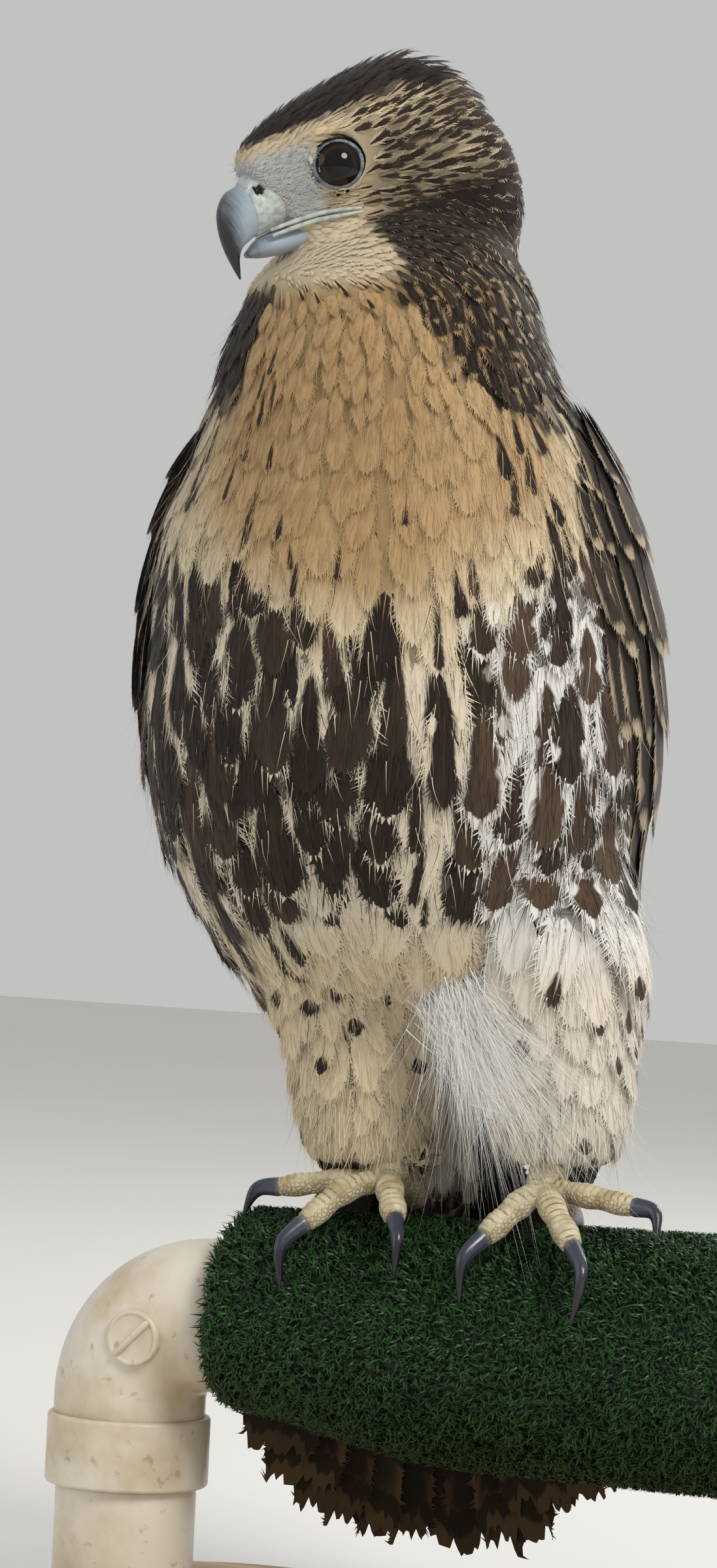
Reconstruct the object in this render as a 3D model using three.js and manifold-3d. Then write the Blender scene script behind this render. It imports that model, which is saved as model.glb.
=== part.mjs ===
// A juvenile red-tailed hawk, life size, gripping a short perch of turf-wrapped pipe on a plain stand.
// Millimetres, +Z up. The perch runs along X, and the bird's body faces -Y with its left side at +X.
// The origin is on the underside of the stand's base, below the middle of the two feet.
import * as THREE from 'three';
import { mergeVertices } from 'three/addons/utils/BufferGeometryUtils.js';
import { LoftGeometry } from 'three/addons/geometries/LoftGeometry.js';
import Module from 'manifold-3d';

const wasm = await Module();
wasm.setup();

// Driving dimensions
const gap = 0.4; // clearance between pieces that meet
const vaneThickness = 0.8; // flight and tail feathers
const bodyYaw = 5; // degrees, breast turned towards +X

const base = { centreX: 6, halfLength: 166, halfDepth: 70, height: 10 };
const pipe = { radius: 24.15, axisHeight: 104, postLeft: 136, postRight: 124 };
const elbow = { radius: 26, bend: 30, hubRadius: 28, hubTop: 68, hubBottom: 44 };
const turf = {
  left: -83, right: 104, side: 37, round: 5, // round: of its two ends
  topLeft: 39, topRight: 43, bottomLeft: 32, bottomMiddle: 44,
};

const trunkSections = {
  vent: { z: 186, x: -37, y: 42, wide: 22, front: 11, back: 10 },
  rump: { z: 202, x: -35, y: 31, wide: 43, front: 30, back: 22 },
  hip: { z: 224, x: -32.5, y: 14, wide: 63, front: 52, back: 36 },
  lowerBelly: { z: 255, x: -34, y: 0, wide: 78, front: 68, back: 47 },
  belly: { z: 293, x: -34.5, y: -10, wide: 86.5, front: 76, back: 54 },
  breast: { z: 335, x: -32, y: -18, wide: 85, front: 75, back: 55 },
  upperBreast: { z: 368, x: -32.5, y: -24, wide: 80.5, front: 69, back: 55 },
  shoulder: { z: 400, x: -29.5, y: -28, wide: 68, front: 58, back: 54 },
  neckBase: { z: 430, x: -32.5, y: -31, wide: 56, front: 51, back: 52 },
  throat: { z: 450, x: -31, y: -32, wide: 48.5, front: 44, back: 48 },
  neckTop: { z: 466, x: -29, y: -30, wide: 38, front: 31, back: 38 },
  nape: { z: 480, x: -28, y: -30, wide: 20, front: 17, back: 20 },
};
const trunkSides = 26;
const trunkRings = 20;
const neckHeight = 418;

const head = {
  eyeMid: new THREE.Vector3(-50.3, -53, 487), // midway between the eyes
  heading: -134, // degrees about +Z from +X
  pitch: 22.5, // degrees, bill down
};
// Head sections across the head's own forward axis: top, bottom, half width, height of the widest
// point, and how round the lower half is (1 a wedge, 2 an oval)
const headSections = [
  { x: -62, top: -11, bottom: -42, half: 15, middle: -26, round: 2 },
  { x: -58, top: 4.5, bottom: -48, half: 26, middle: -22, round: 2 },
  { x: -51.5, top: 18, bottom: -52, half: 33, middle: -17, round: 2 },
  { x: -43, top: 26.5, bottom: -52, half: 36, middle: -13, round: 2 },
  { x: -33, top: 29, bottom: -50, half: 35, middle: -8, round: 2 },
  { x: -21, top: 29, bottom: -44, half: 31, middle: -4, round: 1.8 },
  { x: -10, top: 27.8, bottom: -38, half: 25.5, middle: -1, round: 1.5 },
  { x: 0, top: 26, bottom: -33, half: 21, middle: 0, round: 1.35 },
  { x: 10, top: 23.2, bottom: -28.5, half: 16.5, middle: 0, round: 1.35 },
  { x: 20, top: 19, bottom: -24, half: 12.2, middle: -1, round: 1.4 },
  { x: 28, top: 13.2, bottom: -20, half: 9, middle: -2, round: 1.5 },
  { x: 31, top: 9, bottom: -16, half: 6.5, middle: -3, round: 1.6 },
];
const headSides = 20;
const face = { topX: 28.4, topZ: 10, bottomX: 18.5, bottomZ: -14 }; // line where feathers end at the cere
const eye = { back: 0.9, lateral: 14.2, radius: 9.3, turn: 18, rise: 3, lidRadius: 8.2, lidTube: 1.5 };

const legs = [
  {
    side: 'left',
    thigh: [
      { z: 252, x: 18, y: -2, wide: 38, deep: 40 },
      { z: 222, x: 23, y: 2, wide: 32, deep: 34 },
      { z: 196, x: 26.5, y: 4, wide: 27, deep: 28 },
      { z: 176, x: 28, y: 3, wide: 24.5, deep: 24 },
      { z: 166, x: 28.5, y: 1, wide: 21, deep: 20 },
    ],
    ankle: [29, -2, 165.6],
    join: [28, -8, 157],
    toes: [
      { name: 'inner', ends: [[26, -20, 153.5], [18, -33, 142]], claw: [14, -43, 120.5], radius: 5 },
      { name: 'middle', ends: [[36, -22, 153], [49, -34.5, 141.5]], claw: [53.5, -44, 117], radius: 4.9 },
      { name: 'outer', ends: [[46, -13, 156], [63, -16, 154]], claw: [74, -24, 143], radius: 4.5 },
      { name: 'hind', ends: [[27, 8, 155], [25, 24, 148]], claw: [23, 41, 131], radius: 5.2 },
    ],
  },
  {
    side: 'right',
    thigh: [
      { z: 252, x: -53, y: -2, wide: 40, deep: 40 },
      { z: 222, x: -48, y: 2, wide: 33, deep: 34 },
      { z: 196, x: -44, y: 4, wide: 28.5, deep: 28 },
      { z: 174, x: -41, y: 2, wide: 26, deep: 24 },
      { z: 161, x: -38, y: 0, wide: 23, deep: 20 },
    ],
    ankle: [-30, -3, 160.6],
    join: [-28, -8, 156],
    toes: [
      { name: 'inner', ends: [[-22, -20, 153], [-15.5, -30, 145]], claw: [-10.5, -40, 127], radius: 5 },
      { name: 'middle', ends: [[-37, -21, 152.5], [-46.5, -33, 141.5]], claw: [-50, -43, 120], radius: 4.9 },
      { name: 'outer', ends: [[-46, -13, 154], [-64, -16, 151]], claw: [-74, -23, 141], radius: 4.5 },
      { name: 'hind', ends: [[-29, 8, 154], [-31, 24, 147]], claw: [-33, 41, 130], radius: 5.2 },
    ],
  },
];
const clawRadius = 3.1;

const tail = {
  root: new THREE.Vector3(-36, 37, 214),
  tip: new THREE.Vector3(-34.5, 67, 19),
  feathers: 12,
  spread: 17, // degrees each side
  halfWidth: 15,
  layer: 1.3, // each outer feather lies this much further forward
};

// Wing cover sections: the outline of the folded wings round the body, with the angles from the
// breast at which each wing starts and ends
const wingSections = {
  tips: { z: 100, x: -38, y: 37, wide: 22, back: 35, from: 130, to: 172, thick: 7, leftOut: 12 },
  low: { z: 150, x: -31, y: 27, wide: 46, back: 39, from: 116, to: 173, thick: 7, leftOut: 14 },
  rump: { z: 200, x: -23, y: 15, wide: 63, back: 44, from: 106, to: 174, thick: 8, leftOut: 7 },
  hip: { z: 224, x: -25, y: 7, wide: 71, back: 49, from: 102, to: 174.5, thick: 8, leftOut: 4 },
  flank: { z: 252, x: -32, y: 0, wide: 80, back: 55, from: 97, to: 175, thick: 8.5, leftOut: 1 },
  side: { z: 300, x: -34, y: -10, wide: 91, back: 62, from: 92, to: 175.5, thick: 9, leftOut: 0 },
  back: { z: 345, x: -32.5, y: -19, wide: 89, back: 63, from: 89, to: 175.5, thick: 9, leftOut: 0 },
  shoulder: { z: 385, x: -31, y: -26, wide: 78, back: 61, from: 88, to: 172, thick: 7, leftOut: 0 },
  top: { z: 418, x: -30.5, y: -30, wide: 62.5, back: 54, from: 100, to: 150, thick: 1.6, leftOut: 0 },
};

const radians = THREE.MathUtils.degToRad;
const vector = (x, y, z) => new THREE.Vector3(x, y, z);
const upAxis = vector(0, 0, 1);

// A repeatable random draw, so that feathers vary in the same way at every build
function seeded(seed) {
  let state = seed;
  return () => {
    state = (state * 1664525 + 1013904223) % 4294967296;
    return state / 4294967296 - 0.5;
  };
}

// Smooth curves through each numeric field of a list of sections, read at any height or distance
function smoothFields(sections, along) {
  const rows = Object.values(sections);
  const fields = Object.keys(rows[0]).filter((field) => field !== along);
  const samples = rows.flatMap((row) => fields.map((field) => row[field]));
  const places = rows.map((row) => row[along]);
  const curve = new THREE.CubicInterpolant(places, samples, fields.length, new Float64Array(fields.length));
  return (place) => {
    const values = curve.evaluate(place);
    return Object.fromEntries(fields.map((field, index) => [field, values[index]]));
  };
}

// Closed geometry to solid, with its faces turned outwards
function solidOf(geometry) {
  const bare = new THREE.BufferGeometry();
  bare.setAttribute('position', geometry.getAttribute('position'));
  bare.setIndex(geometry.getIndex());
  const merged = mergeVertices(bare, 1e-4);
  const positions = merged.getAttribute('position').array;
  const corners = merged.getIndex().array;
  const triangles = [];
  for (let i = 0; i < corners.length; i += 3) {
    const [a, b, c] = corners.slice(i, i + 3);
    if (a !== b && b !== c && c !== a) triangles.push(a, b, c);
  }
  if (signedVolume(positions, triangles) < 0) {
    for (let i = 0; i < triangles.length; i += 3) {
      [triangles[i], triangles[i + 1]] = [triangles[i + 1], triangles[i]];
    }
  }
  const mesh = new wasm.Mesh({
    numProp: 3,
    vertProperties: Float32Array.from(positions),
    triVerts: Uint32Array.from(triangles),
  });
  return new wasm.Manifold(mesh);
}

function signedVolume(positions, triangles) {
  let sum = 0;
  const corners = [vector(0, 0, 0), vector(0, 0, 0), vector(0, 0, 0)];
  for (let i = 0; i < triangles.length; i += 3) {
    corners.forEach((corner, k) => corner.fromArray(positions, triangles[i + k] * 3));
    sum += corners[0].dot(corners[1].clone().cross(corners[2]));
  }
  return sum / 6;
}

// Solid to geometry, keeping only its largest closed surface
function geometryOf(solid) {
  const pieces = solid.decompose();
  const largest = pieces.reduce((best, piece) => (piece.volume() > best.volume() ? piece : best));
  const mesh = largest.getMesh();
  const geometry = new THREE.BufferGeometry();
  geometry.setAttribute('position', new THREE.BufferAttribute(Float32Array.from(mesh.vertProperties), 3));
  geometry.setIndex(new THREE.BufferAttribute(Uint32Array.from(mesh.triVerts), 1));
  geometry.computeVertexNormals();
  return geometry;
}

const joined = (solids) => solids.reduce((sum, solid) => sum.add(solid));

// A capped loft, with each section turned to wind forwards round the way it goes
function loft(sections) {
  const total = (section) => section.reduce((sum, point) => sum.add(point), vector(0, 0, 0));
  const centre = (section) => total(section).divideScalar(section.length);
  const [first, second] = sections;
  const ahead = centre(second).sub(centre(first));
  const winding = vector(0, 0, 0);
  const middle = centre(first);
  first.forEach((point, index) => {
    const next = first[(index + 1) % first.length];
    winding.add(point.clone().sub(middle).cross(next.clone().sub(middle)));
  });
  const ordered = winding.dot(ahead) > 0 ? sections : sections.map((section) => [...section].reverse());
  return new LoftGeometry(ordered, { capStart: true, capEnd: true });
}

function boxSolid(size, centre, turn = new THREE.Matrix4()) {
  const geometry = new THREE.BoxGeometry(...size).applyMatrix4(turn);
  return solidOf(geometry.translate(...centre));
}

// A rod of changing radius along a smooth curve through a few points
function limb(points, radii, sides, rings) {
  const curve = new THREE.CatmullRomCurve3(points, false, 'centripetal');
  const rows = radii.map((radius, index) => ({ at: index / (radii.length - 1), radius }));
  const radiusAt = smoothFields(rows, 'at');
  const sections = [];
  for (let ring = 0; ring <= rings; ring += 1) {
    const at = ring / rings;
    const centre = curve.getPoint(at);
    const along = curve.getTangent(at);
    const across = vector(along.y, -along.x, 0.001).normalize();
    across.addScaledVector(along, -across.dot(along)).normalize();
    const over = along.clone().cross(across);
    const { radius } = radiusAt(at);
    const section = [];
    for (let side = 0; side < sides; side += 1) {
      const turn = (side / sides) * Math.PI * 2;
      const point = centre.clone().addScaledVector(across, Math.cos(turn) * radius);
      section.push(point.addScaledVector(over, Math.sin(turn) * radius));
    }
    sections.push(section);
  }
  return loft(sections);
}

// A feather vane: a thin cambered plate with a raised shaft line, its two faces split alike.
// Each station gives the shaft point, the directions across and out, and the half widths.
function vane(stations, thickness = vaneThickness) {
  const positions = [];
  const triangles = [];
  stations.forEach(({ at, across, out, left, right, camber = 0.04, roll = 0 }) => {
    const offsets = [
      [-left, -camber * left + roll * left],
      [0, 0.15],
      [right, -camber * right - roll * right],
    ];
    for (const half of [0.5, -0.5]) {
      for (const [sideways, raised] of offsets) {
        const point = at.clone().addScaledVector(across, sideways);
        point.addScaledVector(out, raised + half * thickness);
        positions.push(point.x, point.y, point.z);
      }
    }
  });
  const face = (a, b, c, d) => triangles.push(a, b, c, a, c, d);
  for (let row = 0; row < stations.length - 1; row += 1) {
    const here = row * 6;
    const next = here + 6;
    face(here, here + 1, next + 1, next);
    face(here + 1, here + 2, next + 2, next + 1);
    triangles.push(here + 3, next + 4, here + 4, here + 3, next + 3, next + 4);
    triangles.push(here + 4, next + 5, here + 5, here + 4, next + 4, next + 5);
    face(here + 3, here, next, next + 3);
    face(here + 2, here + 5, next + 5, next + 2);
  }
  const last = (stations.length - 1) * 6;
  face(0, 3, 4, 1);
  face(1, 4, 5, 2);
  face(last + 1, last + 4, last + 3, last);
  face(last + 2, last + 5, last + 4, last + 1);
  const geometry = new THREE.BufferGeometry();
  geometry.setAttribute('position', new THREE.Float32BufferAttribute(positions, 3));
  geometry.setIndex(triangles);
  return geometry;
}

// Body: trunk and neck as one form, grown by a clearance where it serves as a cutter
const trunkAt = smoothFields(trunkSections, 'z');

function trunkPoint(z, angle, grow = 0) {
  const { x, y, wide, front, back } = trunkAt(z);
  const forward = Math.cos(angle) * ((Math.cos(angle) > 0 ? front : back) + grow);
  const leftward = Math.sin(angle) * (wide + grow);
  return bodyPoint(x, y, z, leftward, forward);
}

function bodyPoint(x, y, z, leftward, forward) {
  const yaw = radians(bodyYaw);
  return vector(
    x + leftward * Math.cos(yaw) + forward * Math.sin(yaw),
    y + leftward * Math.sin(yaw) - forward * Math.cos(yaw),
    z,
  );
}

function trunkSolid(grow = 0) {
  const bottom = trunkSections.vent.z;
  const top = trunkSections.nape.z;
  const sections = [];
  for (let ring = 0; ring <= trunkRings; ring += 1) {
    const z = bottom + ((top - bottom) * ring) / trunkRings;
    const lift = (ring === 0 ? -grow : 0) + (ring === trunkRings ? grow : 0);
    const section = [];
    for (let side = 0; side < trunkSides; side += 1) {
      const point = trunkPoint(z, (side / trunkSides) * Math.PI * 2, grow);
      section.push(point.setZ(z + lift));
    }
    sections.push(section);
  }
  return solidOf(loft(sections));
}

// Head, in its own frame: +X forward, +Y to the bird's left, +Z up, origin midway between the eyes
const headPlace = new THREE.Matrix4()
  .makeTranslation(head.eyeMid)
  .multiply(new THREE.Matrix4().makeRotationZ(radians(head.heading)))
  .multiply(new THREE.Matrix4().makeRotationY(radians(head.pitch)));
const inHead = (geometry) => solidOf(geometry.applyMatrix4(headPlace));
const headAt = smoothFields(headSections, 'x');

function headRing({ x, top, bottom, half, middle, round }, grow) {
  const section = [];
  for (let side = 0; side < headSides; side += 1) {
    const angle = (side / headSides) * Math.PI * 2;
    const across = -Math.sin(angle) * (half + grow);
    const upper = middle + (top - middle + grow) * Math.cos(angle);
    const wedge = 1 - Math.abs(Math.sin(angle)) ** round;
    const lower = middle - (middle - bottom + grow) * wedge;
    section.push(vector(x, across, Math.cos(angle) > 0 ? upper : lower));
  }
  return section;
}

function headForm(grow = 0) {
  const steps = 16;
  const start = headSections[0].x;
  const end = headSections.at(-1).x;
  const sections = [];
  for (let step = 0; step <= steps; step += 1) {
    const x = start + ((end - start) * step) / steps;
    const reach = (step === 0 ? -grow : 0) + (step === steps ? grow : 0);
    sections.push(headRing({ ...headAt(x), x: x + reach }, grow));
  }
  return inHead(loft(sections));
}

// Everything ahead of the line where the feathers end, moved back by a clearance
function faceCutter(shift) {
  const slope = Math.atan2(face.topX - face.bottomX, face.topZ - face.bottomZ);
  const depth = 60;
  const block = new THREE.BoxGeometry(depth, 80, 120).translate(depth / 2 + shift, 0, 0);
  block.rotateY(slope);
  block.translate((face.topX + face.bottomX) / 2, 0, (face.topZ + face.bottomZ) / 2);
  return inHead(block);
}

function eyePlace(side) {
  const turn = radians(90 - eye.turn) * side;
  return new THREE.Matrix4()
    .makeTranslation(-eye.back, eye.lateral * side, 0)
    .multiply(new THREE.Matrix4().makeRotationZ(turn))
    .multiply(new THREE.Matrix4().makeRotationY(-radians(eye.rise)));
}

function eyeball(side, grow = 0) {
  const ball = new THREE.SphereGeometry(eye.radius + grow, 12, 8).rotateZ(Math.PI / 2);
  return inHead(ball.applyMatrix4(eyePlace(side)));
}

function lids(side) {
  const reach = Math.sqrt(eye.radius ** 2 - (eye.lidRadius - eye.lidTube) ** 2);
  const ring = new THREE.TorusGeometry(eye.lidRadius, eye.lidTube, 5, 16).rotateY(Math.PI / 2);
  ring.translate(reach - 0.8, 0, 0);
  return inHead(ring.applyMatrix4(eyePlace(side)));
}

function brow(side) {
  const points = [
    vector(17, 11 * side, 8),
    vector(8, 17.5 * side, 11.5),
    vector(-3, 20.5 * side, 12.5),
    vector(-14, 23 * side, 10),
  ];
  return inHead(limb(points, [1.4, 3.4, 3.6, 1.4], 6, 5));
}

// One edge of the mouth, from the bill back to the gape, with the other edge a little lower
function lip(side, drop, grow = 0) {
  const points = [
    vector(24, 6.5 * side, -13.4 - drop),
    vector(14, 9.8 * side, -12.9 - drop),
    vector(5, 13.6 * side, -13.6 - drop),
    vector(-3, 15.4 * side, -15.2 - drop * 0.5),
  ];
  const radii = [1.3, 1.3, 1.2, 0.8].map((radius) => radius + grow);
  return inHead(limb(points, radii, 5, 4));
}

// Upper bill: sections swing round from the cere to the hooked tip
const billSections = [
  { topX: 15, topZ: 6, lowX: 12, lowZ: -13.2, half: 9.6 },
  { topX: 23, topZ: 7.2, lowX: 22, lowZ: -13.3, half: 8.8 },
  { topX: 28.8, topZ: 3.9, lowX: 28.4, lowZ: -13.7, half: 7.7 },
  { topX: 34, topZ: 2.4, lowX: 32, lowZ: -14.9, half: 6.9 },
  { topX: 38, topZ: -2, lowX: 33.8, lowZ: -15.8, half: 5.9 },
  { topX: 39.8, topZ: -8.3, lowX: 35.2, lowZ: -17.2, half: 4.6 },
  { topX: 40, topZ: -15, lowX: 36.3, lowZ: -19.5, half: 3.1 },
  { topX: 39.2, topZ: -21, lowX: 37.1, lowZ: -22.6, half: 1.6 },
  { topX: 38.3, topZ: -25.4, lowX: 37.8, lowZ: -25.3, half: 0.5 },
];

function billForm() {
  const steps = 14;
  const keyed = billSections.map((section, index) => ({ ...section, at: index }));
  const sectionAt = smoothFields(keyed, 'at');
  const sections = [];
  for (let step = 0; step <= steps; step += 1) {
    const { topX, topZ, lowX, lowZ, half } = sectionAt((step / steps) * (billSections.length - 1));
    const section = [];
    const sides = 12;
    for (let side = 0; side < sides; side += 1) {
      const angle = (side / sides) * Math.PI * 2;
      const down = (1 - Math.cos(angle)) / 2;
      const squared = Math.sign(Math.sin(angle)) * Math.abs(Math.sin(angle)) ** 0.7;
      const width = half * squared * (0.72 + 0.28 * Math.sin(Math.PI * down));
      section.push(vector(topX + (lowX - topX) * down, -width, topZ + (lowZ - topZ) * down));
    }
    sections.push(section);
  }
  return inHead(loft(sections));
}

function lowerBillForm(grow = 0) {
  const rows = [
    { x: 12, top: -14.2, bottom: -22.5, half: 8.6 },
    { x: 22, top: -14.3, bottom: -22, half: 6.6 },
    { x: 29, top: -15, bottom: -21, half: 5 },
    { x: 33.4, top: -17.6, bottom: -19.6, half: 2.6 },
  ];
  const at = smoothFields(rows, 'x');
  const steps = 8;
  const start = rows[0].x;
  const length = rows.at(-1).x - start;
  const sections = [];
  for (let step = 0; step <= steps; step += 1) {
    const x = start + (length * step) / steps;
    const { top, bottom, half } = at(x);
    const section = [];
    for (let side = 0; side < 10; side += 1) {
      const angle = (side / 10) * Math.PI * 2;
      const middle = (top + bottom) / 2;
      const height = (Math.cos(angle) * (top - bottom + 2 * grow)) / 2;
      section.push(vector(x, -Math.sin(angle) * (half + grow), middle + height));
    }
    sections.push(section);
  }
  return inHead(loft(sections));
}

function nostril(side) {
  const points = [vector(24.2, 9.6 * side, 1.6), vector(25, 8 * side, 0.6), vector(25.8, 5.6 * side, -0.2)];
  return inHead(limb(points, [1.7, 1.6, 1.2], 8, 3));
}

// Folded wing: a curved pad on the body's side and back, with feather vanes in tiers over it
const wingAt = smoothFields(wingSections, 'z');
const wingPadBottom = 234;

function wingPoint(z, angle, raise = 0) {
  const { x, y, wide, back, leftOut } = wingAt(z);
  const shift = angle > 0 ? leftOut : 0;
  const leftward = Math.sin(angle) * (wide + raise) + shift;
  const forward = Math.cos(angle) * ((Math.cos(angle) > 0 ? wide * 0.85 : back) + raise);
  return bodyPoint(x, y, z, leftward, forward);
}

function wingNormal(z, angle) {
  const step = 0.01;
  const round = wingPoint(z, angle + step).sub(wingPoint(z, angle - step));
  const rise = wingPoint(z + 1, angle).sub(wingPoint(z - 1, angle));
  return round.cross(rise).normalize();
}

function wingPad(side) {
  const top = wingSections.top.z;
  const rings = 8;
  const across = 8;
  const sections = [];
  for (let ring = 0; ring <= rings; ring += 1) {
    const z = wingPadBottom + ((top - wingPadBottom) * ring) / rings;
    const { from, to, thick } = wingAt(z);
    const outer = [];
    const inner = [];
    for (let step = 0; step <= across; step += 1) {
      const share = step / across;
      const angle = radians(from + (to - from) * share) * side;
      const tuck = thick * (0.15 + 0.85 * Math.min(1, share * 3.5));
      outer.push(wingPoint(z, angle, tuck - thick));
      inner.unshift(wingPoint(z, angle, -thick - 8));
    }
    sections.push([...outer, ...inner]);
  }
  return solidOf(loft(sections));
}

// One vane laid on the wing from a root to a tip, each given as height and share across the wing.
// It starts sunk by one depth, rises to another, and each vane tilts to lie over the one before.
function wingVane(side, { root, tip, half, sunk, raise, rows, tilt = 0.09, pointed = 0.5 }) {
  const place = (share) => {
    const z = THREE.MathUtils.lerp(root.z, tip.z, share);
    const { from, to } = wingAt(z);
    const sideways = THREE.MathUtils.lerp(root.across, tip.across, share);
    return { z, angle: radians(THREE.MathUtils.lerp(from, to, sideways)) * side };
  };
  const stations = [];
  for (let row = 0; row <= rows; row += 1) {
    const share = row / rows;
    const { z, angle } = place(share);
    const ahead = place(share + 0.02);
    const lift = THREE.MathUtils.lerp(-sunk, raise, Math.min(1, share * rows));
    const out = wingNormal(z, angle);
    const at = wingPoint(z, angle).addScaledVector(out, lift);
    const along = wingPoint(ahead.z, ahead.angle).sub(wingPoint(z, angle)).normalize();
    const across = along.clone().cross(out).normalize().multiplyScalar(side);
    const swell = Math.min(1, 0.55 + share * 1.4);
    const taper = share > 0.6 ? 1 - ((share - 0.6) / 0.4) ** 2 * (1 - pointed) : 1;
    const width = half * swell * taper;
    stations.push({ at, across, out, left: width, right: width, roll: -tilt });
  }
  return solidOf(vane(stations));
}

// A row of vanes side by side, from the wing's front edge to its rear one
function wingTier(side, count, random, describe) {
  const vanes = [];
  for (let index = 0; index < count; index += 1) {
    vanes.push(wingVane(side, describe(index / (count - 1), random)));
  }
  return vanes;
}

const wingTiers = {
  primaries: [5, (share, random) => ({
    root: { z: 244, across: 0.1 + 0.26 * share },
    tip: { z: 150 - 42 * Math.sin(share * 2.2) + random() * 3, across: 0.14 + 0.62 * share },
    half: 8, sunk: 6.4 - 5.4 * share, raise: -6.4 + 5.4 * share, rows: 4, tilt: 0, pointed: 0.3,
  })],
  secondaries: [7, (share, random) => ({
    root: { z: 250, across: 0.13 + 0.74 * share },
    tip: { z: 192 - 12 * share + random() * 4, across: 0.17 + 0.74 * share },
    half: 10.5, sunk: 1.4, raise: 0.6, rows: 3, tilt: 0.14,
  })],
  greaterCoverts: [7, (share, random) => ({
    root: { z: 300 + 6 * share, across: 0.12 + 0.74 * share },
    tip: { z: 229 + 6 * share + random() * 5, across: 0.14 + 0.76 * share },
    half: 11.5, sunk: 2.6, raise: 2.4, rows: 3, tilt: 0.15,
  })],
  medianCoverts: [5, (share, random) => ({
    root: { z: 346 + 4 * share, across: 0.2 + 0.38 * share },
    tip: { z: 294 + 4 * share + random() * 5, across: 0.2 + 0.4 * share },
    half: 12.5, sunk: 2.6, raise: 3.6, rows: 2, tilt: 0.15,
  })],
  scapulars: [4, (share, random) => ({
    root: { z: 380 - 62 * share, across: 0.7 + 0.1 * share },
    tip: { z: 316 - 64 * share + random() * 6, across: 0.76 + 0.08 * share },
    half: 15, sunk: 2.6, raise: 5.6 - 3.6 * share, rows: 2, tilt: 0,
  })],
};

function wingVanes(side) {
  const random = seeded(side > 0 ? 11 : 23);
  return Object.values(wingTiers).flatMap(([count, describe]) => wingTier(side, count, random, describe));
}

// Tail: a short covert-clad root and twelve vanes, the middle pair lying on top
function tailFrame() {
  const down = tail.tip.clone().sub(tail.root).normalize();
  const yaw = radians(bodyYaw);
  const leftward = vector(Math.cos(yaw), Math.sin(yaw), 0);
  const out = leftward.clone().cross(down).normalize();
  if (out.y < 0) out.negate();
  return { down, leftward, out };
}

function tailRoot() {
  const { down, leftward, out } = tailFrame();
  const rows = [
    { at: -18, wide: 26, deep: 15 },
    { at: 12, wide: 27, deep: 13 },
    { at: 40, wide: 26, deep: 10.5 },
    { at: 70, wide: 24, deep: 7.5 },
    { at: 92, wide: 17, deep: 4.6 },
  ];
  const sections = rows.map(({ at, wide, deep }) => {
    const centre = tail.root.clone().addScaledVector(down, at).addScaledVector(out, -2.5);
    const section = [];
    for (let side = 0; side < 16; side += 1) {
      const angle = (side / 16) * Math.PI * 2;
      const point = centre.clone().addScaledVector(leftward, Math.cos(angle) * wide);
      section.push(point.addScaledVector(out, Math.sin(angle) * deep));
    }
    return section;
  });
  return solidOf(loft(sections));
}

const tailRows = 4;

function tailVanes() {
  const { down, leftward, out } = tailFrame();
  const random = seeded(7);
  const length = tail.root.distanceTo(tail.tip);
  const vanes = [];
  for (let index = 0; index < tail.feathers; index += 1) {
    const fromMiddle = index - (tail.feathers - 1) / 2;
    const share = fromMiddle / ((tail.feathers - 1) / 2);
    const turn = radians(tail.spread * share);
    const reach = length * (1 - 0.06 * share ** 2) - Math.abs(random()) * 8;
    const along = down.clone().multiplyScalar(Math.cos(turn)).addScaledVector(leftward, Math.sin(turn));
    const across = leftward.clone().multiplyScalar(Math.cos(turn)).addScaledVector(down, -Math.sin(turn));
    const layer = -tail.layer * Math.abs(fromMiddle) + (fromMiddle > 0 ? 3.6 : 3);
    const stations = [];
    for (let row = 0; row <= tailRows; row += 1) {
      const at = row / tailRows;
      const point = tail.root.clone().addScaledVector(leftward, fromMiddle * 1.6);
      point.addScaledVector(along, 46 + (reach - 46) * at).addScaledVector(out, layer);
      const half = tail.halfWidth * (row === tailRows ? 0.6 : Math.min(1, 0.5 + at * 0.75));
      const roll = 0.02 * Math.sign(share);
      stations.push({ at: point, across, out, left: half, right: half, camber: 0.02, roll });
    }
    vanes.push(solidOf(vane(stations)));
  }
  return vanes;
}

// Legs: feathered thighs, then a scaled shank and foot in one piece, and the claws
function thighSolid({ thigh }, grow = 0) {
  const lowest = thigh.at(-1).z;
  const sections = thigh.map(({ z, x, y, wide, deep }) => {
    const height = z === lowest ? z - grow : z;
    const section = [];
    for (let side = 0; side < 20; side += 1) {
      const angle = (side / 20) * Math.PI * 2;
      const [across, ahead] = [Math.cos(angle) * (wide + grow), Math.sin(angle) * (deep + grow)];
      section.push(vector(x + across, y + ahead, height));
    }
    return section;
  });
  return solidOf(loft(sections));
}

function toePoints(join, toe) {
  return [join, ...toe.ends].map((point) => vector(...point));
}

function footSolid({ ankle, join, toes }) {
  const shank = limb([vector(...ankle), vector(...join)], [6.2, 6.6], 12, 2);
  const palm = new THREE.SphereGeometry(7.6, 12, 7).scale(1, 1, 0.75).translate(...join);
  const swell = [1, 0.86, 0.98, 0.8, 0.86]; // pads and joints along a toe
  const parts = toes.map((toe) => {
    const radii = swell.map((share) => share * toe.radius);
    return solidOf(limb(toePoints(join, toe), radii, 8, 6));
  });
  return joined([solidOf(shank), solidOf(palm), ...parts]);
}

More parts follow.
